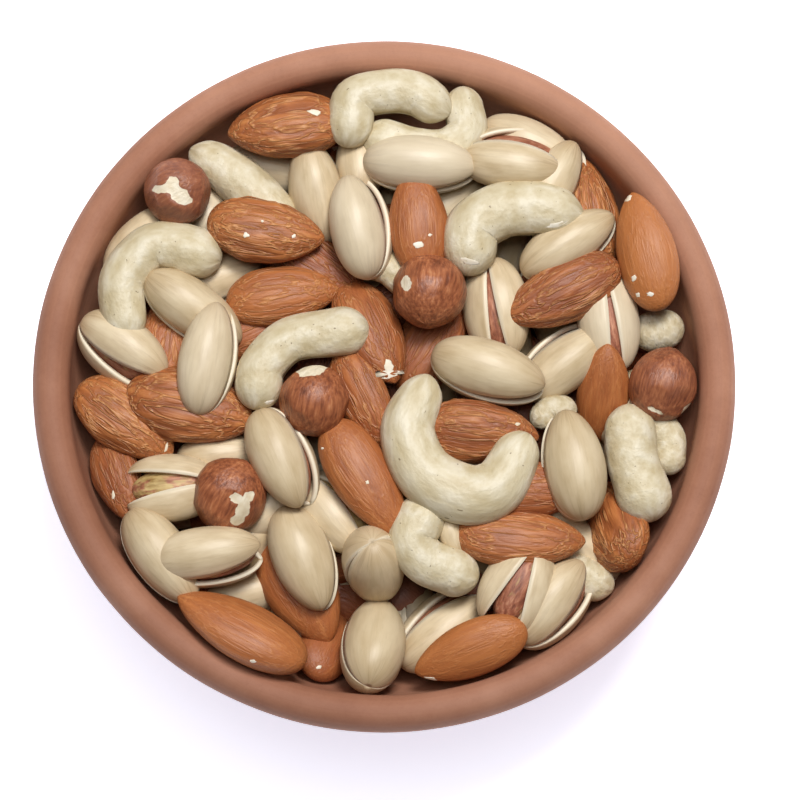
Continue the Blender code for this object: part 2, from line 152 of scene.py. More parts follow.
# %% Outlines of the nuts
OUTLINES = {
    "almond": (0.66, 0.48, 0.66),
    "pistachio": (0.55, 0.46, 0.92),
    "hazelnut": (0.54, 0.5, 0.98),
}


def outline(kind, along):
    """How wide the form is at this place between its blunt end at -1 and its tip at 1, for a width of 1."""
    tip, base, _ = OUTLINES[kind]
    widest = (base - tip) / (base + tip)
    fullest = (1 - widest) ** tip * (1 + widest) ** base
    return (1 - along) ** tip * (1 + along) ** base / fullest


def closed_form(rings, ends, sides):
    """Points and faces of a closed form: its two end points, then rings of as many points as it has sides."""
    points = np.array([ends[0], *[point for ring in rings for point in ring], ends[1]])
    faces = []
    last = len(points) - 1
    for side in range(sides):
        after = (side + 1) % sides
        faces.append((0, 1 + after, 1 + side))
        for ring in range(len(rings) - 1):
            low, high = 1 + ring * sides, 1 + (ring + 1) * sides
            faces.append((low + side, low + after, high + after, high + side))
        top = 1 + (len(rings) - 1) * sides
        faces.append((top + side, top + after, last))
    return points, faces


def straight_form(row, sides, rings):
    """An almond, pistachio or hazelnut along X, its tip at +X and its middle at the origin."""
    flatness = OUTLINES[row["kind"]][2]
    drawn = []
    for ring in range(1, rings + 1):
        along = -math.cos(math.pi * ring / (rings + 1))
        size = outline(row["kind"], along) * row["width"] / 2
        circle = []
        for side in range(sides):
            turn = 2 * math.pi * (side + 0.5) / sides
            circle.append(
                (row["length"] / 2 * along, size * math.cos(turn), size * flatness * math.sin(turn))
            )
        drawn.append(circle)
    ends = ((-row["length"] / 2, 0, 0), (row["length"] / 2, 0, 0))
    return closed_form(drawn, ends, sides)


print("straight outlines:", ", ".join(OUTLINES))

# %% The cashew's bend
CASHEW_THICKNESS = 0.88


def along_bend(bend, amount):
    """The point and the direction at this share of a smooth line through the bend's points."""
    spans = np.linalg.norm(np.diff(bend, axis=0), axis=1)
    marks = np.concatenate([[0], np.cumsum(spans)])
    at = amount * marks[-1]
    span = int(np.clip(np.searchsorted(marks, at) - 1, 0, len(spans) - 1))
    share = (at - marks[span]) / spans[span]
    first, second = bend[span], bend[span + 1]
    before = bend[span - 1] if span > 0 else 2 * first - second
    behind = bend[span + 2] if span + 2 < len(bend) else 2 * second - first
    slope_in, slope_out = (second - before) / 2, (behind - first) / 2
    cubic = (
        (2 * share**3 - 3 * share**2 + 1) * first
        + (share**3 - 2 * share**2 + share) * slope_in
        + (3 * share**2 - 2 * share**3) * second
        + (share**3 - share**2) * slope_out
    )
    heading = (
        (6 * share**2 - 6 * share) * (first - second)
        + (3 * share**2 - 4 * share + 1) * slope_in
        + (3 * share**2 - 2 * share) * slope_out
    )
    return cubic, heading / np.linalg.norm(heading)


def bent_form(row, sides, rings):
    """A cashew: a slightly flat tube along its bend, as thick at its two ends as the row says, with a round
    cap past each end of the bend."""
    drawn = []
    half = row["width"] / 2
    caps = [half * share for share in row["ends"]]
    length = np.linalg.norm(np.diff(row["bend"], axis=0), axis=1).sum()
    total = caps[0] + length + caps[1]
    for ring in range(1, rings + 1):
        spread = -math.cos(math.pi * ring / (rings + 1))
        end = 0 if spread < 0 else 1
        at = total * (1 + spread) / 2 - caps[0]
        on_bend = min(max(at, 0), length)
        middle, ahead = along_bend(row["bend"], on_bend / length)
        middle = middle + ahead * (at - on_bend)
        side_way = np.array((-ahead[1], ahead[0]))
        from_end = total * (1 - abs(spread)) / 2
        roundness = math.sqrt(1 - max(0, 1 - from_end / caps[end]) ** 2)
        size = half * (1 + (row["ends"][end] - 1) * spread**2) * roundness
        circle = []
        for side in range(sides):
            turn = 2 * math.pi * (side + 0.5) / sides
            flat = middle + side_way * size * math.cos(turn)
            circle.append((flat[0], flat[1], size * CASHEW_THICKNESS * math.sin(turn)))
        drawn.append(circle)
    ends = []
    for amount, way in ((0, -caps[0]), (1, caps[1])):
        middle, ahead = along_bend(row["bend"], amount)
        ends.append((*(middle + ahead * way), 0))
    return closed_form(drawn, ends, sides)


def form_of(row, sides, rings):
    if row["kind"] == "cashew":
        return bent_form(row, sides, rings)
    return straight_form(row, sides, rings)


print("a cashew is", CASHEW_THICKNESS, "as thick as it is wide")

# %% [markdown]
# ## Where each nut lies
#
# Every nut that shows is one row, from the lowest to the highest. x and y are where its middle shows on the
# rim's plane, heading is the way its tip points, and sunk is how far its top may lie under the heap's even
# surface. A list was chosen over a random scatter, because the eye knows this heap nut by nut.
#
# The looks come after. skin is how wrinkled an almond is, and tone how light (above 0) or dark its skin is.
# slit is the side that a pistachio's slit faces (0 is up, 90 is to the right of its heading), open is how far
# its halves have opened, in degrees, green how green its kernel is, and share how much of its size it has.
# flip turns a nut end for end. tips is how much a cashew narrows at its two ends. A nut that leans on the
# lip has the height of its top, top, and how far it tilts, lean.

# %% The list of nuts
def nut(name, x, y, heading, length, width, sunk, pitch=0, roll=0, **looks):
    """One straight nut, in millimetres and degrees."""
    return {
        "name": name,
        "kind": name.split("_")[0],
        "place": (x * MM, y * MM),
        "heading": heading,
        "length": length * MM,
        "width": width * MM,
        "sunk": sunk * MM,
        "pitch": pitch,
        "roll": roll,
        **looks,
    }


def cashew(name, bend, width, sunk, pitch=0, roll=0, ends=(1, 1), **looks):
    """One cashew, along a bend through the points where its middle line shows on the rim's plane. ends is how
    thick its two ends are, for the thickness of its middle."""
    points = np.array(bend) * MM
    middle = points.mean(axis=0)
    row = nut(name, 0, 0, 0, 0, width, sunk, pitch, roll, **looks)
    row["place"] = tuple(middle)
    row["bend"] = points - middle
    row["ends"] = ends
    return row


HEAP = [
    nut("almond_18", -50.4, -19.7, -70, 18.0, 10.0, 10.5, 10, 20, skin="fine", tone=-0.7),
    nut("pistachio_01", -48.2, 26.0, 45, 19.0, 11.0, 8, slit=25, open=12),
    nut("almond_04", -12.4, 20.2, -35, 22.0, 12.5, 8, skin="deep", tone=-0.8),
    nut("almond_05", 40.5, 32.4, 100, 22.0, 12.0, 8, 0, 45, skin="deep"),
    nut("almond_10", 17.9, -10.6, -5, 22.0, 12.5, 2.5, 0, 20, skin="deep", tone=-0.3),
    nut("almond_12", 9.0, 5.9, 60, 22.0, 12.5, 10.5, skin="fine", tone=-0.7),
    nut("almond_13", -3.6, -4.6, -63, 21.0, 10.5, 5, 0, 25, skin="fine", tone=-0.2),
    nut("almond_17", -41.0, 5.3, 90, 20.0, 11.5, 5, skin="fine", tone=-0.2),
    nut("almond_25", 27.1, -21.6, 0, 20.0, 11.5, 2.5, skin="fine", tone=-0.5),
    nut("almond_22", -11.3, -52.2, 75, 18.0, 11.0, 10.5, 0, 20, skin="smooth", tone=-0.8),
    cashew("cashew_11", [(32.5, -35.0), (35.8, -37.4), (39.5, -38.9)], 8, 5, ends=(1, 0.85)),
    cashew("cashew_06", [(50.3, 8.5), (52.4, 8.9)], 8, 5),
    nut("pistachio_20", -8.5, -25.7, -45, 18.0, 11.0, 8, slit=-30, open=16, green=1),
    nut("almond_20", -27, -48.7, -28, 26.8, 14, 10.5, skin="smooth", tone=0.1, flip=True, top=50.5, lean=-26),
    nut("almond_23", 43.3, -28.1, 105, 21.6, 14.3, 5, skin="deep", tone=0.1, top=45, lean=-20),
    nut("almond_01", -19.2, 49.6, 187, 22.5, 14.3, 2.5, skin="deep", top=49, lean=22),
    nut("pistachio_04", -12.9, 35.3, 100, 20.3, 11.3, 8, slit=88, open=3),
    nut("pistachio_07", -4.6, 41.6, 90, 17.0, 10.0, 10.5, slit=88, open=3),
    nut("pistachio_09", 28.5, 46.3, -25, 19.7, 10.5, 15.5, slit=65, open=8, tone=0.3),
    nut("pistachio_12", 21.0, 12.9, 97, 19.7, 11.3, 5, slit=12, open=9, flip=True),
    nut("pistachio_14", 33.2, 2.6, 40, 19.7, 11.3, 5, slit=-58, open=12, tone=-0.3),
    nut("pistachio_15", 41.9, 11.0, 98, 20.6, 10.8, 5, slit=-5, open=7, flip=True, tone=0.8),
    nut("pistachio_16", -49.8, 4.9, -38, 19.5, 11.2, 8, slit=46, open=13, tone=0.2),
    nut("pistachio_21", -2.0, -35.5, 90, 20.0, 12.0, 10.5, -72, slit=60, open=7),
    nut("pistachio_28", 32.0, -44.4, 48, 19.5, 11.3, 8, slit=58, open=13),
    cashew(
        "cashew_03",
        [(-34.8, 42.9), (-30.0, 39.8), (-25.6, 36.0), (-21.5, 31.5)],
        9.8,
        2.5,
        ends=(0.65, 1),
        tips=(0.3, 0),
    ),
    nut("almond_07", 49.6, 24.1, 102, 23.3, 11.8, 2.5, skin="smooth", tone=0.9, top=50, lean=-22),
    nut("almond_03", -19.0, 15.2, 8, 21.6, 11.8, 5, skin="fine", tone=0.3),
    nut("almond_02", -22.3, 28.0, -9, 22.5, 12.8, 0, skin="deep", tone=0.3),
    nut("almond_11", -2.4, 8.2, -66, 22.6, 13.2, 8, skin="fine", tone=-0.4),
    nut("almond_21", -15.5, -40.2, -60, 22.5, 14.1, 8, skin="smooth", tone=-0.3),
    nut("almond_09", 40.8, -3.1, 85, 20.0, 10.5, 2.5, 35, skin="smooth"),
    cashew(
        "cashew_02",
        [(-48.5, 10.4), (-48.9, 18.3), (-44.3, 24.2), (-39.6, 24.7), (-35.6, 23.5)],
        9.4,
        2,
        ends=(0.93, 1.12),
        tips=(0.3, 0.12),
    ),
    nut("pistachio_10", 32.6, 37.3, 60, 19.5, 10.8, 13, slit=70, open=10),
    nut("pistachio_11", 34.6, 25.1, 32, 20.6, 10.8, 5, slit=75, open=5),
    nut("pistachio_17", -40.6, -21.2, 3, 20.6, 11.6, 8, slit=8, open=20, green=0.5, flip=True, share=0.86),
    nut("pistachio_13", 19.4, 0.9, -18, 22.1, 12.0, 0, slit=72, open=7),
    nut("pistachio_23", 10.4, -47.4, 42, 20.6, 11.3, 8, slit=-48, open=12),
    nut("pistachio_24", -41.3, -34.1, -55, 21.0, 11.3, 5, slit=82, open=4),
    nut("pistachio_27", 24.2, -40.6, 65, 19.5, 11.3, 5, slit=0, open=24, share=0.88, flip=True),
    nut("almond_16", -49.5, -8.4, -36, 22.1, 12.8, 5, skin="deep", tone=0.3),
    nut("almond_06", 33.4, 16.2, 26, 24.0, 12.4, 2.5, skin="deep", tone=-0.4, flip=True),
    nut("almond_24", 25.2, -30.3, -4, 24.4, 12.0, 2.5, skin="fine", tone=0.1),
    nut("almond_19", 16.2, -52.5, 21, 22.5, 10.8, 0, 0, 20, skin="smooth", tone=0.6, flip=True),
    cashew("cashew_08", [(6.7, -27.2), (5.2, -30.9), (7.6, -34.6), (13.1, -36.7)], 9.2, 5, ends=(1.1, 1.05)),
    cashew("cashew_10", [(46.1, -9.9), (46.4, -15.4), (48.2, -21.4)], 10.2, 0, ends=(0.9, 1.28)),
    nut("hazelnut_01", -40.3, 36.7, 30, 12.8, 12.8, -3, 30, tone=-0.6, top=51, lean=0),
    nut("hazelnut_03", 53.0, -1.6, 75, 14.2, 12.8, -3, 10, tone=-0.3),
    nut("pistachio_08", 24.2, 42.1, 0, 19.5, 10.8, 10.5, slit=-42, open=24),
    nut("pistachio_19", -14.8, -34.2, -69, 21.0, 12.4, 5, slit=-72, open=5, tone=-0.3),
    nut("pistachio_22", -2.0, -50.9, 84, 20.6, 12.8, 0, slit=-70, open=4, tone=-0.4),
    nut("pistachio_25", -32.7, -34.1, 6, 20.8, 10.8, 2.5, slit=66, open=15),
    nut("almond_15", -36.2, -6.1, -12, 25.3, 14.6, 2.5, skin="deep"),
    nut("almond_14", -3.5, -19.3, -58, 25.3, 12.0, 2.5, skin="smooth", tone=-0.1),
    cashew(
        "cashew_04",
        [(1.2, 47.8), (6.6, 46.4), (12.4, 46.4), (16.1, 49.6), (15.8, 54.9)],
        8.4,
        8,
        ends=(1.15, 0.9),
    ),
    cashew(
        "cashew_05",
        [(16.2, 23.9), (17.0, 28.4), (21.8, 31.5), (27.5, 32.2), (33.3, 31.4)],
        11.2,
        0,
        ends=(0.85, 0.8),
        tips=(0.1, 0.4),
    ),
    cashew(
        "cashew_09",
        [(-8.3, 8.2), (-17.4, 6.8), (-22.4, 1.9), (-23.3, -1.7)],
        9,
        2.5,
        ends=(1.27, 1.08),
    ),
    nut("hazelnut_05", -28.7, -22.3, 60, 14.3, 14.3, 0, 30, tone=0.1),
    nut("pistachio_02", -35.8, 12.6, -35, 21.6, 11.3, 2.5, slit=76, open=6),
    nut("pistachio_18", -18.9, -15.5, -64, 20.3, 11.6, 2.5, slit=-58, open=11, tone=-0.4),
    nut("pistachio_26", 35.1, -16.9, 100, 21.0, 12.6, 0, slit=-74, open=6, tone=-0.5),
    cashew(
        "cashew_01",
        [(-6.2, 50.6), (-5.2, 55.2), (1.2, 56.8), (6.0, 56.3), (9.0, 54.5)],
        8.8,
        -4.5,
        ends=(1.1, 0.95),
        tips=(0.1, 0.3),
    ),
    nut("hazelnut_04", -12.9, -4.6, 80, 13.5, 13.5, 0, 30, tone=0.3),
    nut("pistachio_06", 6.8, 40.6, -4, 21.8, 11.6, 5, slit=78, open=6, tone=1.0),
    nut("almond_08", 6.4, 29.5, 95, 21.0, 11.5, 2.5, 40, skin="smooth", tone=-0.2),
    nut("pistachio_05", -4.4, 28.5, 99, 20.2, 11.6, 0, slit=60, open=12, tone=0.6),
    nut("pistachio_03", -32.9, 3.2, 80, 21.8, 11.3, 0, slit=70, open=6, tone=0.5),
    nut("hazelnut_02", 8.4, 16.0, -95, 14.1, 14.1, 0, 20),
    cashew(
        "cashew_07",
        [(7.0, -3.5), (4.6, -10.5), (7.8, -18.4), (15.4, -22.3), (21.1, -20.6), (24.9, -14.2)],
        11.8,
        0,
        ends=(0.68, 0.66),
        tips=(0.3, 0.1),
    ),
]
KINDS = ("almond", "cashew", "pistachio", "hazelnut")
print("nuts that show:", {kind: sum(row["kind"] == kind for row in HEAP) for kind in KINDS})

# %% [markdown]
# ## How the heap settles
#
# A camera looking down says where each nut shows, but not how deep it lies. So the nuts are laid one after
# another, the lowest first: each starts at its own level under the heap's even surface, slides along the line
# of sight as it rises, leans a little either way to lie lower, and stays clear of the bowl's wall. A physics
# run could settle them too, but it would let them slide away from where they show. The solids were laid by
# the same rule and the same numbers, so both heaps agree.

# %% The room for the nuts, and the line of sight
EYE = Vector((2.97, -104.6, 593.2)) * MM
MAP_CELL = 1 * MM
MAP_HALF = 68


def hollow_radius(height):
    """The radius of the bowl's hollow at this height above the table."""
    spring = BOWL_HEIGHT - LIP_HEIGHT
    if height >= spring:
        return RIM_RADIUS - LIP_WIDTH
    fall = min(1, (spring - height) / (spring - FLOOR_THICKNESS))
    return (RIM_RADIUS - LIP_WIDTH) * (1 - fall**HOLLOW_SQUARENESS) ** (1 / HOLLOW_SQUARENESS)


def even_surface(x, y):
    """The height of the heap's even surface: a low dome."""
    return HEAP_TOP - (HEAP_TOP - HEAP_EDGE) * (x * x + y * y) / HEAP_RADIUS**2


def free_radii(heights):
    """How far from the bowl's axis a nut may reach at these heights, clear of the wall and the round lip."""
    spring = BOWL_HEIGHT - LIP_HEIGHT
    free = []
    for height in heights:
        climb = (height - spring) / (LIP_HEIGHT + WALL_GAP)
        if climb <= 0:
            free.append(hollow_radius(max(height, FLOOR_THICKNESS + MM)) - WALL_GAP)
        elif climb < 1:
            half = LIP_WIDTH / 2 + WALL_GAP
            free.append(RIM_RADIUS - LIP_WIDTH / 2 - half * math.sqrt(1 - climb * climb))
        else:
            free.append(RIM_RADIUS)
    return np.array(free)


FREE_HEIGHTS = np.arange(0, 2 * BOWL_HEIGHT, 0.5 * MM)
FREE_RADII = free_radii(FREE_HEIGHTS)


def seen_at(place, height):
    """The point at this height that shows, from the eye, at a place on the rim's plane."""
    aim = Vector((*place, BOWL_HEIGHT))
    return np.array(EYE + (aim - EYE) * ((EYE.z - height) / (EYE.z - BOWL_HEIGHT)))


def cells_of(points):
    cells = np.rint(points[:, :2] / MAP_CELL).astype(int) + MAP_HALF
    return tuple(np.clip(cells, 0, 2 * MAP_HALF).T)


print("free radius at the rim:", round(FREE_RADII[80] / MM, 1), "mm")

# %% Turning a nut and clearing the wall
CLEARING_ROUNDS = 3


def cleared_middle(points, place, height):
    """Where the nut's middle goes at this height, and how far in that is, to clear the wall, from where it
    shows."""
    middle = seen_at(place, height)
    moved = 0
    for _ in range(CLEARING_ROUNDS):
        placed = points + middle
        reach = np.hypot(placed[:, 0], placed[:, 1])
        over = reach - np.interp(placed[:, 2], FREE_HEIGHTS, FREE_RADII)
        worst = int(over.argmax())
        if over[worst] <= 0:
            break
        middle[:2] -= placed[worst, :2] / reach[worst] * over[worst]
        moved += over[worst]
    return middle, moved


def turn_matrix(row, pitch, roll):
    return Euler((math.radians(roll), -math.radians(pitch), math.radians(row["heading"])), "XYZ").to_matrix()


def turned(points, row, pitch, roll):
    return points @ np.array(turn_matrix(row, pitch, roll)).T


upright = np.array(turn_matrix(HEAP[0], 0, 0))
print("the first nut points", [round(float(value), 2) for value in upright[:2, 0]])

# %% Laying the nuts
TRACE_FACES = (32, 20)
PITCHES = (-36, -24, -12, 0, 12, 24, 36)
ROLLS = (-24, -12, 0, 12, 24)
NUT_SINK = 5.5 * MM
MOST_MOVED = 1 * MM
MOST_RAISED = 1.5 * MM
RAISE_STEP = 0.5 * MM
LEAN_COST = 0.04 * MM
MISFIT_COST = 1.5


def rest(points, row, surface):
    """Raises a nut from its own level until it clears the wall and those below, or reaches the highest level.
    Returns what that costs, and its middle."""
    even = even_surface(*row["place"])
    top = points[:, 2].max()
    height = even - row["sunk"] - top
    highest = even + MOST_RAISED - top
    _, least_moved = cleared_middle(points, row["place"], highest)
    while True:
        middle, moved = cleared_middle(points, row["place"], height)
        resting = float((surface[cells_of(points + middle)] - points[:, 2]).max()) - NUT_SINK
        if height >= highest or (height >= resting and moved <= least_moved + MOST_MOVED):
            break
        height = min(highest, height + RAISE_STEP)
    return height + top + MISFIT_COST * (moved + max(0, resting - height)), middle


def settle(rows):
    """Lays each nut on those before it. Returns each one's turn and middle, and the map of the heap's
    surface."""
    reach = np.arange(-MAP_HALF, MAP_HALF + 1) * MAP_CELL
    surface = even_surface(reach[:, None], reach[None, :]) - BED_DEPTH
    settled = []
    for row in rows:
        trace, _ = form_of(row, *TRACE_FACES)
        best = None
        for pitch in PITCHES:
            for roll in ROLLS:
                turn = (row["pitch"] + pitch, row["roll"] + roll)
                points = turned(trace, row, *turn)
                cost, middle = rest(points, row, surface)
                cost += LEAN_COST * (abs(pitch) + abs(roll))
                if best is None or cost < best[0]:
                    best = (cost, turn, points + middle, middle)
        _, turn, placed, middle = best
        np.maximum.at(surface, cells_of(placed), placed[:, 2])
        settled.append((row, turn, middle))
    return settled, surface


settled, surface = settle(HEAP)
print("settled", len(settled), "nuts; the highest point is", round(float(surface.max()) / MM, 1), "mm up")

# %% [markdown]
# ## Colours and shared parts of the materials
#
# Colours are written as they look on a screen, from 0 to 255, and turned into the linear values that the
# shader wants. Each nut carries its own coordinates in the attribute `own` (-1 to 1 along and across it), a
# random number in `seed` and how light or dark it is in `tone`, so a pattern follows each nut however it
# lies. An image wrapped round each nut would need a layout for every form, and noise on these needs none.

# %% Colours and new materials
def colour(red, green, blue):
    """A colour as seen on a screen, as the shader's linear value."""
    return (*[((value / 255 + 0.055) / 1.055) ** 2.4 for value in (red, green, blue)], 1)


def new_material(name, roughness):
    material = bpy.data.materials.new(name)
    material.use_nodes = True
    shader = material.node_tree.nodes["Principled BSDF"]
    shader.inputs["Roughness"].default_value = roughness
    return material, material.node_tree, shader


def attribute(tree, name, kind="Fac"):
    return add(tree, "ShaderNodeAttribute", attribute_name=name).outputs[kind]


def blend(tree, amount, under, over):
    """One colour laid over another by an amount."""
    return add(tree, "ShaderNodeMix", {0: amount, 6: under, 7: over}, data_type="RGBA").outputs[2]


def ramp(tree, amount, stops):
    made = add(tree, "ShaderNodeValToRGB", {0: amount})
    elements = made.color_ramp.elements
    while len(elements) < len(stops):
        elements.new(0.5)
    for element, (place, shade) in zip(elements, stops):
        element.position = place
        element.color = shade
    return made.outputs["Color"]


print("a white sheet is", colour(255, 255, 255)[:3])

# %% Patterns that follow each nut
SEED_WAY = (7.3, 3.1, 5.7)


def stretched(tree, along, across, shift=0.0):
    """The nut's own coordinates, scaled along and across it and moved by its random number."""
    scaled = add(
        tree,
        "ShaderNodeVectorMath",
        {0: attribute(tree, "own", "Vector"), 1: (along, across, across)},
        operation="MULTIPLY",
    )
    seed = attribute(tree, "seed")
    moved = add(tree, "ShaderNodeVectorMath", {0: SEED_WAY, "Scale": seed}, operation="SCALE")
    return add(
        tree,
        "ShaderNodeVectorMath",
        {0: scaled.outputs[0], 1: moved.outputs[0], 2: (shift, shift, shift)},
        operation="ADD",
    ).outputs[0]


def grain(tree, where, scale, detail=3.0, roughness=0.55, distortion=0.0):
    """Noise from 0 to 1 on these coordinates."""
    return add(
        tree,
        "ShaderNodeTexNoise",
        {"Vector": where, "Scale": scale, "Detail": detail, "Roughness": roughness, "Distortion": distortion},
    ).outputs["Fac"]


def skin_grain(tree, along, across, shift=0.0, **noise_values):
    """Noise that follows the nut, finer along it or across it as these say. The shift sets patterns apart."""
    return grain(tree, stretched(tree, along, across, shift), **noise_values)


def set_bump(tree, shader, height, depth):
    """Fine relief from a height, whose full range stands for this depth in metres."""
    bump = add(tree, "ShaderNodeBump", {"Height": height, "Distance": depth, "Strength": 1.0})
    tree.links.new(bump.outputs["Normal"], shader.inputs["Normal"])


def step_up(tree, value, low, high):
    """0 below the low value, 1 above the high one, smooth between."""
    made = add(tree, "ShaderNodeMapRange", {0: value, 1: low, 2: high}, interpolation_type="SMOOTHSTEP")
    return made.outputs[0]


print("patterns move by", SEED_WAY, "times each nut's seed")

# %% [markdown]
# ## Unglazed clay
#
# The bowl is baked red clay with no glaze: matte, with soft cloudy patches and the fine rings that the
# potter's ribs leave as it turns. The rings are noise that reads only the reach from the axis and the height,
# and the clouds read the place, both in Object coordinates. Two wide soft steps across the bowl paint light
# onto its far right side and shade onto its near left side, where the key lamp behind and to the right
# would light it more and less.

# %% Clay
RING_SCALE = 900.0
# The way across the bowl towards the key lamp's side, and where the painted shade and the painted light fall
# along it.
LIGHT_FALL_WAY = (0.45, 0.9)
PAINTED_SHADE_SIDE = (50 * MM, -70 * MM)
PAINTED_LIGHT_SIDE = (20 * MM, 75 * MM)


def clay_material():
    material, tree, shader = new_material("unglazed_clay", roughness=0.72)
    place = add(tree, "ShaderNodeTexCoord").outputs["Object"]
    clouds = grain(tree, place, scale=42.0, detail=5.0, roughness=0.62)
    specks = grain(tree, place, scale=1500.0, detail=3.0, roughness=0.7)
    x, y, z = add(tree, "ShaderNodeSeparateXYZ", {0: place}).outputs
    reach = calc(tree, "SQRT", plus(tree, times(tree, x, x), times(tree, y, y)))
    turned_place = {0: times(tree, reach, RING_SCALE), 1: times(tree, z, RING_SCALE)}
    rings = grain(
        tree, add(tree, "ShaderNodeCombineXYZ", turned_place).outputs[0], scale=1.0, detail=3.0, roughness=0.6
    )
    body = ramp(
        tree,
        clouds,
        [(0.32, colour(152, 99, 74)), (0.5, colour(169, 115, 89)), (0.68, colour(188, 136, 110))],
    )
    ring_shades = ramp(tree, rings, [(0.35, colour(134, 86, 64)), (0.65, colour(200, 148, 120))])
    ringed = blend(tree, 0.12, body, ring_shades)
    speck_shades = ramp(
        tree,
        specks,
        [(0.36, colour(104, 66, 48)), (0.46, colour(170, 116, 90)), (0.7, colour(196, 144, 116))],
    )
    speckled = blend(tree, 0.07, ringed, speck_shades)
    # Painted shade darkens the near left side, away from the key lamp, and painted light lightens the far
    # right side, towards it.
    across = plus(tree, times(tree, x, LIGHT_FALL_WAY[0]), times(tree, y, LIGHT_FALL_WAY[1]))
    darker = times(tree, step_up(tree, across, *PAINTED_SHADE_SIDE), 0.36)
    shaded = blend(tree, darker, speckled, colour(116, 72, 52))
    lighter = times(tree, step_up(tree, across, *PAINTED_LIGHT_SIDE), 0.3)
    painted_light_clay = blend(tree, lighter, shaded, colour(208, 160, 132))
    tree.links.new(painted_light_clay, shader.inputs["Base Color"])
    relief = plus(tree, times(tree, rings, 0.7), times(tree, specks, 0.3))
    set_bump(tree, shader, relief, depth=0.08 * MM)
    return material


CLAY = clay_material()
print("material:", CLAY.name)

# %% [markdown]
# ## Skins of almonds, hazelnuts and pistachio kernels
#
# An almond's brown skin is drawn into lengthwise wrinkles: the ridges are pale and dusty, the furrows dark.
# The mesh has the broad wrinkles as real relief, stored in the attribute `relief`, so the colour follows
# them: part of the ridges' paleness is painted light and part of the furrows' darkness is painted shade. The
# fine pale lines are contour lines of a stretched noise: wherever it passes through its middle value there is
# a line that runs on and never crosses itself, as a wrinkle does, and the darker band beside each is painted
# shade in its furrow. `lined` is how many of them a nut has. A hazelnut's skin is darker and streaked, and a
# kernel's is purple brown where it isn't green.

# %% Almond skin
def almond_material():
    material, tree, shader = new_material("almond_skin", roughness=0.44)
    contours = skin_grain(tree, 0.5, 2.6, 2.0, scale=1.5, detail=2.0, roughness=0.45, distortion=0.12)
    streaks = skin_grain(tree, 1.3, 9.0, scale=1.6, detail=5.0, roughness=0.62)
    fibres = skin_grain(tree, 5.0, 26.0, 4.0, scale=1.5, detail=4.0, roughness=0.7)
    patches = skin_grain(tree, 1.0, 1.6, 9.0, scale=1.3, detail=2.0, roughness=0.5)
    off_line = calc(tree, "ABSOLUTE", calc(tree, "SUBTRACT", contours, 0.5))
    lined = attribute(tree, "lined")
    broken = step_up(tree, streaks, 0.34, 0.56)
    ridge = times(tree, step_up(tree, off_line, 0.05, 0.0), times(tree, lined, broken))
    beside = times(tree, step_up(tree, off_line, 0.03, 0.06), step_up(tree, off_line, 0.14, 0.08))
    furrow = times(tree, beside, lined)
    threads = plus(tree, times(tree, streaks, 0.42), times(tree, fibres, 0.12))
    # The relief's share of this height paints shade into the furrows and light onto the ridges, over the
    # skin's own streaks.
    height = plus(tree, times(tree, attribute(tree, "relief"), 0.42), threads)
    skin = ramp(
        tree,
        height,
        [
            (0.28, colour(136, 74, 38)),
            (0.42, colour(160, 92, 48)),
            (0.56, colour(180, 110, 60)),
            (0.74, colour(204, 138, 80)),
        ],
    )
    warmer = blend(tree, times(tree, patches, 0.4), skin, colour(190, 114, 64))
    # Painted shade: a darker band beside each fine line, in its furrow. The pale line itself is partly painted
    # light on its ridge.
    sunken = blend(tree, times(tree, furrow, 0.3), warmer, colour(122, 66, 38))
    raised = blend(tree, times(tree, ridge, 0.6), sunken, colour(222, 164, 106))
    tone = attribute(tree, "tone")
    darker = times(tree, tone, -0.55, clamp=True)
    lighter = times(tree, tone, 0.5, clamp=True)
    deep = blend(tree, darker, raised, colour(132, 68, 42))
    light = blend(tree, lighter, deep, colour(194, 122, 66))
    tree.links.new(light, shader.inputs["Base Color"])
    folds = calc(tree, "SUBTRACT", times(tree, ridge, 0.8), times(tree, furrow, 0.4))
    rough = plus(tree, times(tree, streaks, 0.7), times(tree, fibres, 0.22))
    set_bump(tree, shader, plus(tree, folds, rough), depth=0.15 * MM)
    return material


ALMOND_SKIN = almond_material()
print("material:", ALMOND_SKIN.name)

# %% Hazelnut skin
def hazelnut_material():
    material, tree, shader = new_material("hazelnut_skin", roughness=0.4)
    streaks = skin_grain(tree, 0.8, 7.0, scale=1.7, detail=4.0, roughness=0.6)
    clouds = skin_grain(tree, 1.5, 1.5, 3.0, scale=1.6, detail=3.0, roughness=0.55)
    skin = ramp(
        tree,
        plus(tree, times(tree, streaks, 0.6), times(tree, clouds, 0.4)),
        [
            (0.32, colour(96, 48, 30)),
            (0.46, colour(142, 80, 50)),
            (0.58, colour(174, 106, 68)),
            (0.72, colour(206, 146, 104)),
        ],
    )
    dull = times(tree, attribute(tree, "tone"), -0.7, clamp=True)
    skin = blend(tree, dull, skin, colour(142, 92, 74))
    peeled = step_up(tree, attribute(tree, "peel"), 0.42, 0.58)
    flesh = ramp(tree, clouds, [(0.35, colour(222, 206, 176)), (0.65, colour(240, 230, 208))])
    tree.links.new(blend(tree, peeled, skin, flesh), shader.inputs["Base Color"])
    set_bump(tree, shader, streaks, depth=0.2 * MM)
    return material


HAZELNUT_SKIN = hazelnut_material()
print("material:", HAZELNUT_SKIN.name)

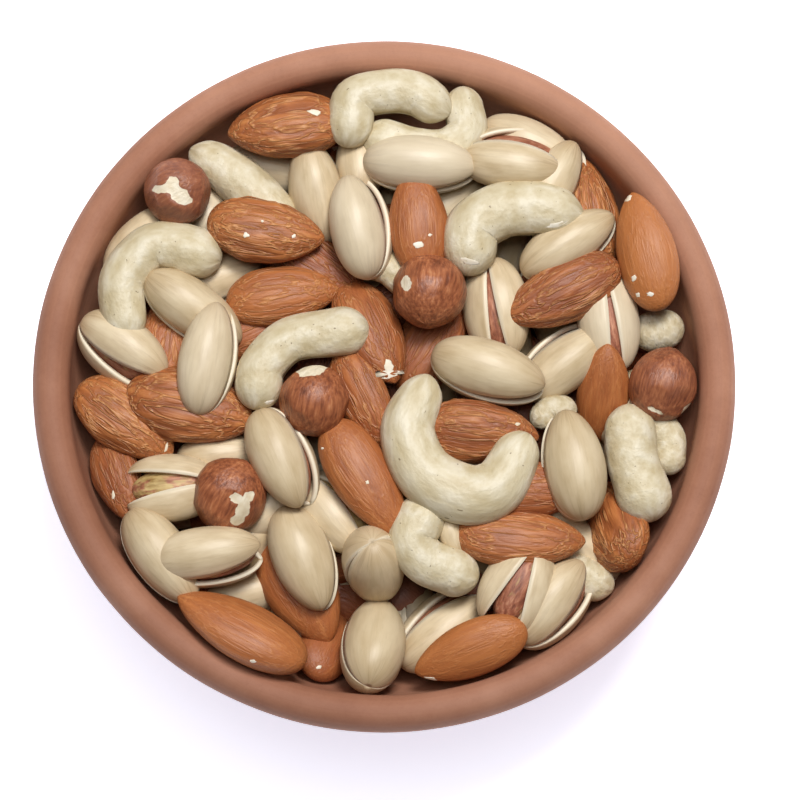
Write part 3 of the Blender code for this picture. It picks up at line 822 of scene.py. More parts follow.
# %% Pistachio kernel
def kernel_material():
    material, tree, shader = new_material("pistachio_kernel", roughness=0.5)
    streaks = skin_grain(tree, 1.0, 3.5, scale=1.6, detail=4.0, roughness=0.6)
    patches = skin_grain(tree, 1.3, 1.6, 6.0, scale=1.4, detail=2.0, roughness=0.5)
    skin = ramp(
        tree,
        streaks,
        [(0.3, colour(110, 60, 44)), (0.5, colour(158, 98, 72)), (0.7, colour(198, 142, 112))],
    )
    bare = ramp(tree, streaks, [(0.3, colour(150, 118, 66)), (0.7, colour(206, 180, 124))])
    greener = plus(tree, patches, times(tree, attribute(tree, "green"), 0.35))
    shows = step_up(tree, greener, 0.6, 0.74)
    tree.links.new(blend(tree, shows, skin, bare), shader.inputs["Base Color"])
    set_bump(tree, shader, streaks, depth=0.2 * MM)
    return material


KERNEL = kernel_material()
print("material:", KERNEL.name)

# %% [markdown]
# ## Pistachio shell and cashew flesh
#
# A pistachio's shell is hard, smooth and bone white, with faint brown streaks that gather at its two ends.
# Its inside is browner, and its lip is paler where it has split. The layers `inner` and `lip` of its mesh say
# where those are, because no noise could find them. A cashew is cream with soft clouds and mottles, a few
# dark pinpricks and a darker crease.

# %% Pistachio shell
def shell_material():
    material, tree, shader = new_material("pistachio_shell", roughness=0.42)
    streaks = skin_grain(tree, 0.9, 4.5, scale=1.6, detail=5.0, roughness=0.62)
    clouds = skin_grain(tree, 1.0, 1.2, 5.0, scale=1.5, detail=3.0, roughness=0.5)
    along = add(tree, "ShaderNodeSeparateXYZ", {0: attribute(tree, "own", "Vector")}).outputs[0]
    ends = step_up(tree, calc(tree, "ABSOLUTE", along), 0.45, 1.0)
    bone = ramp(
        tree,
        clouds,
        [(0.3, colour(196, 174, 138)), (0.5, colour(211, 191, 157)), (0.7, colour(222, 204, 172))],
    )
    strength = plus(tree, 0.14, times(tree, ends, 0.3))
    lines = times(tree, step_up(tree, streaks, 0.5, 0.64), strength)
    tinged = blend(tree, times(tree, ends, 0.42), bone, colour(178, 148, 108))
    streaked = blend(tree, lines, tinged, colour(148, 122, 90))
    tone = attribute(tree, "tone")
    whiter = blend(tree, times(tree, tone, 0.5, clamp=True), streaked, colour(226, 214, 192))
    duller = blend(tree, times(tree, tone, -0.6, clamp=True), whiter, colour(180, 160, 124))
    inside = blend(tree, attribute(tree, "inner"), duller, colour(196, 168, 128))
    lipped = blend(tree, attribute(tree, "lip"), inside, colour(234, 222, 198))
    tree.links.new(lipped, shader.inputs["Base Color"])
    set_bump(tree, shader, streaks, depth=0.06 * MM)
    return material


SHELL = shell_material()
print("material:", SHELL.name)

# %% Cashew flesh
def cashew_material():
    material, tree, shader = new_material("cashew_flesh", roughness=0.46)
    clouds = skin_grain(tree, 3.2, 1.3, scale=1.3, detail=3.0, roughness=0.5)
    mottles = skin_grain(tree, 16.0, 5.0, 2.0, scale=1.2, detail=5.0, roughness=0.62)
    dots = skin_grain(tree, 22.0, 7.0, 8.0, scale=1.0, detail=1.0, roughness=0.4)
    flesh = ramp(
        tree,
        clouds,
        [(0.34, colour(197, 181, 145)), (0.5, colour(210, 197, 166)), (0.66, colour(222, 212, 188))],
    )
    patchy = times(tree, step_up(tree, mottles, 0.5, 0.66), 0.13)
    mottled = blend(tree, patchy, flesh, colour(184, 164, 124))
    creased = blend(tree, times(tree, attribute(tree, "crease"), 0.5), mottled, colour(160, 138, 94))
    pricked = times(tree, step_up(tree, dots, 0.75, 0.78), 0.7)
    dotted = blend(tree, pricked, creased, colour(112, 90, 60))
    duller = times(tree, attribute(tree, "tone"), -0.6, clamp=True)
    dull = blend(tree, duller, dotted, colour(160, 140, 100))
    tree.links.new(dull, shader.inputs["Base Color"])
    set_bump(tree, shader, plus(tree, clouds, times(tree, mottles, 0.35)), depth=0.4 * MM)
    return material


CASHEW_FLESH = cashew_material()
print("material:", CASHEW_FLESH.name)

# %% Crumbs, chips and the dark bed
def plain_material(name, roughness, low, high):
    material, tree, shader = new_material(name, roughness)
    place = add(tree, "ShaderNodeTexCoord").outputs["Object"]
    clouds = grain(tree, place, scale=220.0, detail=3.0)
    tree.links.new(ramp(tree, clouds, [(0.35, low), (0.65, high)]), shader.inputs["Base Color"])
    return material


CHIP = plain_material("bare_nut_chips", 0.5, colour(226, 212, 186), colour(246, 240, 226))
# Painted shade: a dark brown that stands for the shade deep in the heap.
BED = plain_material("shaded_bed", 0.8, colour(46, 30, 20), colour(92, 62, 40))
print("materials:", CHIP.name, BED.name)

# %% [markdown]
# ## Geometry Nodes, applied
#
# Each tree below is built in the script and put on an object as a modifier. Its inputs are set by the
# sockets' identifiers before the object is first evaluated, and then the result is taken as a plain mesh. A
# modifier left on the object would lose its instances in the export.

# %% Trees of Geometry Nodes
def new_tree(name, inputs):
    """A tree with a geometry input and output and these named inputs. Returns it and its input sockets."""
    tree = bpy.data.node_groups.new(name, "GeometryNodeTree")
    tree.interface.new_socket("Geometry", in_out="INPUT", socket_type="NodeSocketGeometry")
    tree.interface.new_socket("Geometry", in_out="OUTPUT", socket_type="NodeSocketGeometry")
    for label, kind in inputs.items():
        tree.interface.new_socket(label, in_out="INPUT", socket_type=kind)
    return tree, tree.nodes.new("NodeGroupInput").outputs


def end_tree(tree, geometry, material):
    """Realizes what the tree made and gives it its material."""
    real = add(tree, "GeometryNodeRealizeInstances", {0: geometry}).outputs[0]
    painted = add(tree, "GeometryNodeSetMaterial", {"Geometry": real, "Material": material}).outputs[0]
    add(tree, "NodeGroupOutput", {0: painted})


def apply_tree(piece, tree, values):
    """Runs the tree on the piece with these inputs, and keeps the result as its plain mesh."""
    work = piece.modifiers.new(tree.name, "NODES")
    work.node_group = tree
    for item in tree.interface.items_tree:
        if item.in_out == "INPUT" and item.name in values:
            work[item.identifier] = values[item.name]
    graph = bpy.context.evaluated_depsgraph_get()
    result = bpy.data.meshes.new_from_object(piece.evaluated_get(graph), depsgraph=graph)
    piece.modifiers.remove(work)
    piece.data = result
    result.name = piece.name


print("Geometry Nodes helpers ready")

# %% Plain pieces
def add_piece(name, points, faces, layers=None, collection=None):
    """A smooth mesh object. A layer is an attribute with one value, or one vector, for each point."""
    mesh = bpy.data.meshes.new(name)
    mesh.from_pydata([tuple(point) for point in points], [], faces)
    mesh.polygons.foreach_set("use_smooth", [True] * len(mesh.polygons))
    for label, values in (layers or {}).items():
        values = np.asarray(values)
        whole = values.dtype.kind == "i"
        kind = "FLOAT_VECTOR" if values.ndim == 2 else "INT" if whole else "FLOAT"
        layer = mesh.attributes.new(label, kind, "POINT")
        layer.data.foreach_set("vector" if values.ndim == 2 else "value", values.reshape(-1))
    piece = bpy.data.objects.new(name, mesh)
    (collection or bpy.context.scene.collection).objects.link(piece)
    return piece


def outward(piece):
    """Turns the faces to point out of the closed piece, and returns its volume."""
    work = bmesh.new()
    work.from_mesh(piece.data)
    bmesh.ops.recalc_face_normals(work, faces=work.faces)
    volume = work.calc_volume(signed=True)
    if volume < 0:
        bmesh.ops.reverse_faces(work, faces=work.faces)
    work.to_mesh(piece.data)
    work.free()
    return abs(volume)


def joined(name, parts, finish):
    """One piece from parts. A part is its points, its faces, its layers and its values, which are the same at
    all its points."""
    points, faces, layers = [], [], {}
    total = 0
    for spots, polygons, own_layers, values in parts:
        points.append(spots)
        faces += [[corner + total for corner in polygon] for polygon in polygons]
        total += len(spots)
        everywhere = {label: np.full(len(spots), value) for label, value in values.items()}
        for label, layer in {**own_layers, **everywhere}.items():
            layers.setdefault(label, []).append(layer)
    layers = {label: np.concatenate(pieces) for label, pieces in layers.items()}
    piece = add_piece(name, np.concatenate(points), faces, layers)
    piece.data.materials.append(finish)
    return piece


def triangles(piece):
    return sum(len(face.vertices) - 2 for face in piece.data.polygons)


print("helpers for pieces ready")

# %% [markdown]
# ## The bowl
#
# A potter turns a bowl: one section is swept round an axis. The tree does the same. It lays a flat grid,
# reads the section's curve at each row of it, and rolls the grid up round Z. A Screw modifier would sweep it
# too, but the grid gives rows as close as the lip needs and no seam. The section is the solid's own, drawn
# more finely, with a rounded foot. A little noise then makes it as uneven as a hand-turned wall.

# %% The bowl's section
WALL_STEPS = 70
LIP_STEPS = 36
FOOT_REACHES = (34.9, 34.3, 33.6, 32.6)
FOOT_HEIGHTS = (0.42, 0.14, 0.02, 0.0)


def bowl_section():
    """From the middle of the floor, up the inside, over the lip, down the outside and in to the middle."""
    spring = BOWL_HEIGHT - LIP_HEIGHT
    points = [(0, FLOOR_THICKNESS)]
    for step in range(1, WALL_STEPS):
        turn = math.pi / 2 * step / WALL_STEPS
        height = spring - (spring - FLOOR_THICKNESS) * math.cos(turn)
        points.append((hollow_radius(height), height))
    middle = RIM_RADIUS - LIP_WIDTH / 2
    for step in range(LIP_STEPS + 1):
        turn = math.pi * step / LIP_STEPS
        points.append((middle - LIP_WIDTH / 2 * math.cos(turn), spring + LIP_HEIGHT * math.sin(turn)))
    share = 1 - (BASE_RADIUS / RIM_RADIUS) ** OUTER_SQUARENESS
    for step in range(1, WALL_STEPS - 1):
        fall = step / WALL_STEPS
        radius = RIM_RADIUS * (1 - share * fall**OUTER_SQUARENESS) ** (1 / OUTER_SQUARENESS)
        points.append((radius, spring * (1 - fall)))
    foot = [(reach * MM, height * MM) for reach, height in zip(FOOT_REACHES, FOOT_HEIGHTS)]
    return points + foot + [(0, 0)]


section = bowl_section()
print("the bowl's section has", len(section), "points")

# %% The tree that turns the bowl
WELD = 0.01 * MM
WAVE_SCALE = 45.0
WAVE_MIDDLE = 0.62
EVEN_BELOW = 1 * MM
UNEVEN_ABOVE = 4 * MM


def turning_tree():
    """Rolls a grid up round Z, each row of it at the section's radius and height."""
    inputs = {
        "Sides": "NodeSocketInt",
        "Rows": "NodeSocketInt",
        "Unevenness": "NodeSocketFloat",
        "Clay": "NodeSocketMaterial",
    }
    tree, given = new_tree("turned_bowl", inputs)
    curve = add(tree, "GeometryNodeMeshToCurve", {"Mesh": given["Geometry"]}).outputs[0]
    grid = add(
        tree,
        "GeometryNodeMeshGrid",
        {"Size X": 1.0, "Size Y": 1.0, "Vertices X": given["Sides"], "Vertices Y": given["Rows"]},
    ).outputs["Mesh"]
    place = add(tree, "ShaderNodeSeparateXYZ", {0: add(tree, "GeometryNodeInputPosition").outputs[0]}).outputs
    turn = times(tree, plus(tree, place[0], 0.5), 2 * math.pi)
    share = plus(tree, place[1], 0.5)
    sampled = add(tree, "GeometryNodeSampleCurve", {"Curves": curve, "Factor": share}, mode="FACTOR")
    at = add(tree, "ShaderNodeSeparateXYZ", {0: sampled.outputs["Position"]}).outputs
    rolled = add(
        tree,
        "ShaderNodeCombineXYZ",
        {
            0: times(tree, at[0], calc(tree, "COSINE", turn)),
            1: times(tree, at[0], calc(tree, "SINE", turn)),
            2: at[2],
        },
    ).outputs[0]
    wall = add(tree, "GeometryNodeSetPosition", {"Geometry": grid, "Position": rolled}).outputs[0]
    closed = add(tree, "GeometryNodeMergeByDistance", {"Geometry": wall, "Distance": WELD}).outputs[0]
    spot = add(tree, "GeometryNodeInputPosition").outputs[0]
    waves = add(tree, "ShaderNodeTexNoise", {"Vector": spot, "Scale": WAVE_SCALE, "Detail": 2.0}).outputs[0]
    climbed = add(tree, "ShaderNodeSeparateXYZ", {0: spot}).outputs[2]
    off_foot = add(tree, "ShaderNodeMapRange", {0: climbed, 1: EVEN_BELOW, 2: UNEVEN_ABOVE}).outputs[0]
    swing = times(tree, calc(tree, "SUBTRACT", waves, WAVE_MIDDLE), given["Unevenness"])
    push = times(tree, swing, off_foot)
    outwards = add(tree, "GeometryNodeInputNormal").outputs[0]
    moved = add(tree, "ShaderNodeVectorMath", {0: outwards, "Scale": push}, operation="SCALE").outputs[0]
    uneven = add(tree, "GeometryNodeSetPosition", {"Geometry": closed, "Offset": moved}).outputs[0]
    smooth = add(tree, "GeometryNodeSetShadeSmooth", {0: uneven}).outputs[0]
    end_tree(tree, smooth, given["Clay"])
    return tree


TURNING = turning_tree()
print("turning tree:", len(TURNING.nodes), "nodes")

# %% Turning the bowl
BOWL_SIDES = 193
BOWL_ROWS = 200
UNEVENNESS = 0.35 * MM
CUBIC_CM = 1e-6

bowl = bpy.data.objects.new("clay_bowl", bpy.data.meshes.new("clay_bowl"))
section_edges = [(spot, spot + 1) for spot in range(len(section) - 1)]
bowl.data.from_pydata([(radius, 0, height) for radius, height in section], section_edges, [])
bpy.context.scene.collection.objects.link(bowl)
apply_tree(bowl, TURNING, {"Sides": BOWL_SIDES, "Rows": BOWL_ROWS, "Unevenness": UNEVENNESS, "Clay": CLAY})
bowl_volume = outward(bowl)
print("bowl:", triangles(bowl), "triangles,", round(bowl_volume / CUBIC_CM), "cubic cm of clay")

# %% [markdown]
# ## Scattering the nuts
#
# Almonds, shells and kernels repeat, each kind from a few different forms. So each kind is one piece: a cloud
# of points carries every nut's turn, size, choice of form and tone, and the tree puts the chosen form on each
# point. The forms are one unit long and wide from their middle, so a point's size is in metres. Hazelnuts and
# cashews aren't scattered, because no two of them are torn or bent alike.

# %% The scattering tree
def scattering_tree():
    inputs = {"Forms": "NodeSocketCollection", "Finish": "NodeSocketMaterial"}
    tree, given = new_tree("scattered_nuts", inputs)
    forms = add(
        tree,
        "GeometryNodeCollectionInfo",
        {"Collection": given["Forms"], "Separate Children": True, "Reset Children": True},
    ).outputs[0]

    def named(label, kind):
        return add(tree, "GeometryNodeInputNamedAttribute", {"Name": label}, data_type=kind).outputs[0]

    turn = add(tree, "FunctionNodeEulerToRotation", {0: named("turn", "FLOAT_VECTOR")}).outputs[0]
    placed = add(
        tree,
        "GeometryNodeInstanceOnPoints",
        {
            "Points": given["Geometry"],
            "Instance": forms,
            "Pick Instance": True,
            "Instance Index": named("variant", "INT"),
            "Rotation": turn,
            "Scale": named("size", "FLOAT_VECTOR"),
        },
    ).outputs[0]
    end_tree(tree, placed, given["Finish"])
    return tree


SCATTER = scattering_tree()
print("scattering tree:", len(SCATTER.nodes), "nodes")

# %% Forms on a shelf, and their copies
LINED = {"smooth": 0.22, "fine": 0.75, "deep": 1.0, "bed": 0.5}
TONE_PLAY = 0.12
SEED_SPAN = 20
shelf = bpy.data.collections.new("shelf")
bpy.context.scene.collection.children.link(shelf)


def form_shelf(name):
    """A collection that holds one kind's forms, in the order of their names."""
    made = bpy.data.collections.new(name)
    shelf.children.link(made)
    return made


def scatter(name, copies, forms, finish):
    """One piece from many copies: (middle, rotation matrix, size, variant, looks) each."""
    draw = random.Random(name)
    layers = {
        "turn": np.array([tuple(matrix.to_euler()) for _, matrix, _, _, _ in copies], dtype=float),
        "size": np.array([tuple(size) for _, _, size, _, _ in copies], dtype=float),
        "variant": np.array([variant for _, _, _, variant, _ in copies], dtype=np.int32),
        "tone": np.array(
            [looks.get("tone", 0.0) + draw.uniform(-TONE_PLAY, TONE_PLAY) for *_, looks in copies]
        ),
        "green": np.array([float(looks.get("green", 0)) for *_, looks in copies]),
        "lined": np.array([LINED.get(looks.get("skin"), 0.0) for *_, looks in copies]),
        "seed": np.array([draw.uniform(0, SEED_SPAN) for _ in copies]),
    }
    piece = add_piece(name, [middle for middle, *_ in copies], [], layers)
    apply_tree(piece, SCATTER, {"Forms": forms, "Finish": finish})
    for label in ("turn", "size", "variant"):
        if label in piece.data.attributes:
            piece.data.attributes.remove(piece.data.attributes[label])
    print(name + ":", len(copies), "copies,", triangles(piece), "triangles")
    return piece


print("skins' lines:", LINED)

# %% [markdown]
# ## The nuts that hardly show
#
# Between the upper nuts there are glimpses of others: some in known places, which are listed, and under
# those a bed that only fills the dark. The bed's nuts are laid by a seeded draw, in two layers, each one
# low enough to stay under whatever lies above it. Their dark tones are painted shade. Nobody can tell them
# apart, so no list was made of them.

# %% Glimpsed nuts
GLIMPSED = [
    nut("pistachio_31", -33.4, 30.4, -58, 19.0, 11.0, 7, slit=88, open=2, tone=0.8),
    nut("pistachio_32", -31.2, 17.9, 20, 18.0, 10.5, 8.5, slit=60, open=4),
    nut("pistachio_33", -21.5, 39.6, -12, 19.0, 10.5, 8.5, slit=88, open=2, tone=0.5),
    nut("pistachio_34", 12.4, 33.0, 42, 19.0, 10.5, 9.5, slit=88, open=2, tone=-0.3),
    nut("pistachio_35", -30.6, -14.8, 5, 16.0, 8.5, 8.0, slit=88, open=2, tone=0.1),
    nut("pistachio_36", -20.9, -24.4, 40, 17.0, 10.0, 8.5, slit=88, open=2, tone=0.3),
    nut("pistachio_37", -15.6, -46.6, 55, 17.0, 10.0, 12.5, slit=-60, open=8),
    nut("pistachio_38", -25.6, -40.6, 12, 17.0, 10.0, 10, slit=88, open=2, tone=-0.2),
    nut("pistachio_39", -24.6, -30.0, 60, 16.0, 10.0, 9.5, slit=88, open=2),
    nut("pistachio_40", 31.4, -25.2, 20, 18.0, 10.0, 8, slit=88, open=2),
    nut("pistachio_41", 38.6, -34.8, -35, 20.0, 11.0, 7.5, slit=80, open=5, tone=0.2),
    nut("pistachio_42", 44.8, -6.2, 70, 16.0, 9.0, 7.5, slit=88, open=2),
    nut("pistachio_43", 38.5, 39.5, -40, 18.0, 10.5, 15, slit=88, open=2, tone=-0.2),
    nut("pistachio_44", 12.4, -29.8, -70, 9.0, 5.4, 4.5, slit=88, open=2),
    nut("almond_31", -23.0, 9.4, 25, 21.0, 12.0, 9, skin="fine", tone=-0.6),
    nut("almond_32", -8.0, 42.4, 80, 21.0, 12.0, 12.5, skin="deep", tone=-0.5),
    nut("almond_33", -31.4, -40.8, -40, 18.0, 10.0, 10.5, skin="fine", tone=-0.5),
    cashew("cashew_12", [(51.4, -9.4), (53.0, -12.0), (53.0, -15.6)], 6.4, 3.0),
    cashew("cashew_13", [(-1.6, 21.6), (1.0, 20.4), (3.2, 18.6)], 6.8, 6.5, tone=-0.4),
    cashew("cashew_15", [(29.4, -7.8), (31.2, -6.5), (33.6, -6.3)], 5.4, 5.5, ends=(0.9, 0.9), tone=-0.2),
]
PLACING_FACES = (12, 8)


def placed_at(row, turn, top):
    """The row's points and middle when its top is at this height, clear of the wall."""
    points = turned(form_of(row, *PLACING_FACES)[0], row, *turn)
    middle, _ = cleared_middle(points, row["place"], top - points[:, 2].max())
    return points + middle, middle


def lay_glimpsed():
    laid = []
    for row in GLIMPSED:
        turn = (row["pitch"], row["roll"])
        _, middle = placed_at(row, turn, even_surface(*row["place"]) - row["sunk"])
        laid.append((row, turn, middle))
    return laid


glimpsed = lay_glimpsed()
print("glimpsed nuts:", len(glimpsed))

# %% The bed of hidden nuts
BED_SPACING = 9.5
BED_STEPS = range(-6, 7)
BED_ROW_SHARE = 0.87
BED_PLAY = 0.3
BED_REACH = 52
BED_LAYERS = ((13.0, 4.0), (19.0, 4.0))
BED_SIZES = {"pistachio": (19.0, 10.8), "almond": (21.0, 12.0), "hazelnut": (13.0, 13.0)}
BED_KINDS = ("pistachio", "pistachio", "almond", "almond", "hazelnut")
# Dark tones for the bed's nuts: painted shade, for how deep they lie in the heap.
BED_PAINTED_SHADES = (-1.6, -0.6)
BED_TILT = 35
COVER = 0.2 * MM
UNDER_COVER = 0.6 * MM
OVER_FLOOR = 3 * MM


def lay_bed():
    """Hidden nuts on a loose grid, each with its top under the nuts that already lie over it."""
    draw = random.Random(SEED)
    reach = np.arange(-MAP_HALF, MAP_HALF + 1) * MAP_CELL
    covered = surface > even_surface(reach[:, None], reach[None, :]) - BED_DEPTH + COVER
    laid = []
    for depth, play in BED_LAYERS:
        for across in BED_STEPS:
            for along in BED_STEPS:
                x = (across + 0.5 * (along % 2) + draw.uniform(-BED_PLAY, BED_PLAY)) * BED_SPACING
                y = (along * BED_ROW_SHARE + draw.uniform(-BED_PLAY, BED_PLAY)) * BED_SPACING
                kind = draw.choice(BED_KINDS)
                turn = (draw.uniform(-BED_TILT, BED_TILT), draw.uniform(-180, 180))
                heading = draw.uniform(0, 360)
                drop = draw.uniform(0, play)
                # Each bed nut's dark tone is painted shade for its depth under the nuts that show.
                looks = {"skin": "bed", "tone": draw.uniform(*BED_PAINTED_SHADES), "hidden": True}
                if math.hypot(x, y) > BED_REACH:
                    continue
                row = nut(kind + "_bed", x, y, heading, *BED_SIZES[kind], 0, **looks)
                top = even_surface(*row["place"]) - (depth + drop) * MM
                points, middle = placed_at(row, turn, top)
                under = cells_of(points)
                if covered[under].any():
                    top = min(top, float(surface[under][covered[under]].min()) - UNDER_COVER)
                    points, middle = placed_at(row, turn, top)
                if points[:, 2].min() > FLOOR_THICKNESS + OVER_FLOOR:
                    laid.append((row, turn, middle))
    return laid


bed = lay_bed()
print("hidden nuts:", len(bed))

# %% [markdown]
# ## Nuts that lean on the lip
#
# A few nuts at the edge lean on the wall, and one side of them stands up against the lip. From the eye they
# show further out than a nut that lies flat. The rule above can't find such a place, because the lip pushes
# the nut inwards, so these rows say how high the top is and how far the nut tilts.

# %% Lifting the leaning nuts
def lifted(laid):
    """The laid nuts, with those that lean tilted and as high as their rows say."""
    raised = []
    for row, turn, middle in laid:
        if "top" in row:
            turn = (turn[0], turn[1] + row["lean"])
            _, middle = placed_at(row, turn, row["top"] * MM)
        raised.append((row, turn, middle))
    return raised


everything = lifted(settled) + glimpsed + bed
print("nuts in all:", len(everything))

# %% [markdown]
# ## Almonds
#
# Nine different almonds are made: three smooth, three finely lined and three deeply wrinkled, and a plain one
# with few faces for the bed. The wrinkles are ridged noise, long along the nut and narrow round it, and they
# are cut inwards, so the nut hardly grows past the solid's form. A sculpted almond would be finer, but noise
# gives as many different ones as are wanted.

# %% Noise on a nut
SMALLEST = 1e-6


def angles_of(own):
    """The cosine and sine of each point's place round its nut."""
    reach = np.maximum(np.hypot(own[:, 1], own[:, 2]), SMALLEST)
    return own[:, 1] / reach, own[:, 2] / reach


def noise_at(own, along, across, shift):
    """Smooth noise from -1 to 1, long or short along the nut and round it."""
    cosine, sine = angles_of(own)
    spots = np.stack([own[:, 0] * along, cosine * across, sine * across], axis=1) + shift
    return np.array([noise.noise(Vector(spot)) for spot in spots])


print("noise at the tip:", round(float(noise_at(np.array([(1.0, 0, 0)]), 1, 1, 0)[0]), 3))

# %% Almond forms
ALMOND_SKINS = {"smooth": (0, 0.25), "fine": (3, 0.6), "deep": (6, 1.0)}
FORMS_A_SKIN = 3
ALMOND_BED = 9
BED_STRENGTH = 0.6
FINE_FACES = (46, 50)
BED_FACES = (12, 9)
SHALLOWEST = 0.035
DEEPEST = 0.085
ALMOND_SWELL = 0.03
ALMOND_BEND = 0.05


def wrinkled(own, strength, shift):
    """How high each point stands in its wrinkles, from 0 in a furrow to 1 on a ridge."""
    coarse = noise_at(own, 0.9, 3.4, shift)
    fine = noise_at(own, 1.6, 8.0, shift + 9)
    ridges = 1 - np.clip(np.abs(coarse + 0.45 * fine) * 2.4, 0, 1)
    return ridges * strength + (0.5 + 0.5 * fine) * (1 - strength)


def almond_form(index, strength, sides, rings, forms):
    """One almond, two units long and wide, with its own wrinkles and a slight bend to one side."""
    row = {"kind": "almond", "length": 2, "width": 2}
    points, faces = straight_form(row, sides, rings)
    flatness = OUTLINES["almond"][2]
    own = points / (1, 1, flatness)
    shift = 5.3 * (index + 1)
    relief = wrinkled(own, strength, shift)
    body = np.hypot(own[:, 1], own[:, 2])
    swell = ALMOND_SWELL * noise_at(own, 1.3, 1.0, shift + 30)
    depth = (SHALLOWEST + (DEEPEST - SHALLOWEST) * strength) * np.sqrt(np.clip(body, 0, 1))
    points[:, 1:] *= (1 - depth * (1 - relief) + swell)[:, None]
    points[:, 1] += ALMOND_BEND * math.sin(index * 2.1) * (1 - own[:, 0] ** 2)
    add_piece(f"almond_form_{index:02d}", points, faces, {"own": own, "relief": relief}, forms)


almond_forms = form_shelf("almond_forms")
for first, strength in ALMOND_SKINS.values():
    for index in range(first, first + FORMS_A_SKIN):
        almond_form(index, strength, *FINE_FACES, almond_forms)
almond_form(ALMOND_BED, BED_STRENGTH, *BED_FACES, almond_forms)

# %% Placing the almonds
def half_sizes(row):
    return (row["length"] / 2, row["width"] / 2, row["width"] / 2)


def way_of(row, pitch, roll):
    """The nut's turn, end for end where its row says so."""
    way = turn_matrix(row, pitch, roll)
    return way @ Matrix.Rotation(math.pi, 3, "Z") if row.get("flip") else way


def almond_copies():
    """Each almond's middle, turn, half sizes, form and looks."""
    copies = []
    for row, turn, middle in everything:
        if row["kind"] == "almond":
            variant = ALMOND_BED
            if "hidden" not in row:
                variant = ALMOND_SKINS[row["skin"]][0] + len(copies) % FORMS_A_SKIN
            copies.append((middle, way_of(row, *turn), half_sizes(row), variant, row))
    return copies


almonds = scatter("almonds", almond_copies(), almond_forms, ALMOND_SKIN)

# %% [markdown]
# ## Pistachios
#
# A ripe pistachio's shell splits from its tip, and its halves open like a book whose spine is the stem end.
# A slit could be cut into a closed form, but then nothing would open. So one half shell is made, with its
# wall, its lip and its hollow, and each nut is two of them: the second is the first turned over, and both
# swing open about the stem end. The kernel lies between.

# %% Half shells
SHELL_WALL = 0.15
THINNEST_HOLLOW = 0.25
HOLLOW_LENGTH = 0.95
SHELL_FACES = (26, 18, 8)
SHELL_BED_FACES = (10, 6, 3)
SHELL_BED = 4
SHELL_SWELL = 0.03
INNER_LIP = 0.8
TIP_LIP = 0.3


def flare_at(edge):
    """How far the shell stands out near its lip, from 0 in the middle of its back to 1 at its edge: a groove
    runs beside the lip, and the lip turns out."""
    return 1 + 0.03 * edge**10 - 0.015 * math.exp(-(((edge - 0.86) / 0.06) ** 2))


def shell_form(index, rows, arc, hollow_arc, forms):
    """A half shell on the side of +Y, its stem end at the origin, one unit wide and two long."""
    flatness = OUTLINES["pistachio"][2]
    rings, own, lip, inner = [], [], [], []
    for row in range(1, rows):
        along = -math.cos(math.pi * row / rows)
        size = outline("pistachio", along)
        ring = []
        for step in range(arc + 1):
            turn = math.pi * (step / arc - 0.5)
            flare = flare_at(abs(step / arc - 0.5) * 2)
            ring.append((1 + along, size * math.cos(turn), size * flatness * math.sin(turn) * flare))
            own.append((along, math.cos(turn), math.sin(turn)))
            lip.append(1.0 if step in (0, arc) else 0.0)
            inner.append(0.0)
        hollow = max(size - SHELL_WALL, THINNEST_HOLLOW * size)
        for step in range(hollow_arc + 1):
            turn = math.pi * (0.5 - step / hollow_arc)
            aside, up = hollow * math.cos(turn), hollow * flatness * math.sin(turn)
            ring.append((1 + along * HOLLOW_LENGTH, aside, up))
            own.append((along, math.cos(turn), math.sin(turn)))
            lip.append(INNER_LIP if step in (0, hollow_arc) else 0.0)
            inner.append(0.0 if step in (0, hollow_arc) else 1.0)
        rings.append(ring)
    points, faces = closed_form(rings, ((0, 0, 0), (2, 0, 0)), arc + hollow_arc + 2)
    own = np.array([(-1, 0, 0), *own, (1, 0, 0)], dtype=float)
    swell = 1 + SHELL_SWELL * noise_at(own, 1.1, 0.9, 3.7 * (index + 1))
    points[:, 1:] *= swell[:, None]
    layers = {
        "own": own,
        "lip": np.array([TIP_LIP, *lip, TIP_LIP]),
        "inner": np.array([0.0, *inner, 0.0]),
    }
    outward(add_piece(f"shell_form_{index:02d}", points, faces, layers, forms))


shell_forms = form_shelf("shell_forms")
for index in range(SHELL_BED):
    shell_form(index, *SHELL_FACES, shell_forms)
shell_form(SHELL_BED, *SHELL_BED_FACES, shell_forms)

# %% Kernels
KERNEL_FACES = (22, 20)
KERNEL_SWELL = 0.07


def kernel_form(index, sides, rings, forms):
    row = {"kind": "pistachio", "length": 2, "width": 2}
    points, faces = straight_form(row, sides, rings)
    own = points / (1, 1, OUTLINES["pistachio"][2])
    points[:, 1:] *= (1 + KERNEL_SWELL * noise_at(own, 1.2, 3.0, 6.1 * (index + 1)))[:, None]
    add_piece(f"kernel_form_{index:02d}", points, faces, {"own": own}, forms)


kernel_forms = form_shelf("kernel_forms")
for index in range(SHELL_BED):
    kernel_form(index, *KERNEL_FACES, kernel_forms)

# %% Placing the pistachios
KERNEL_SHARE = (0.88, 0.83, 0.83)
HARDLY_OPEN = 2


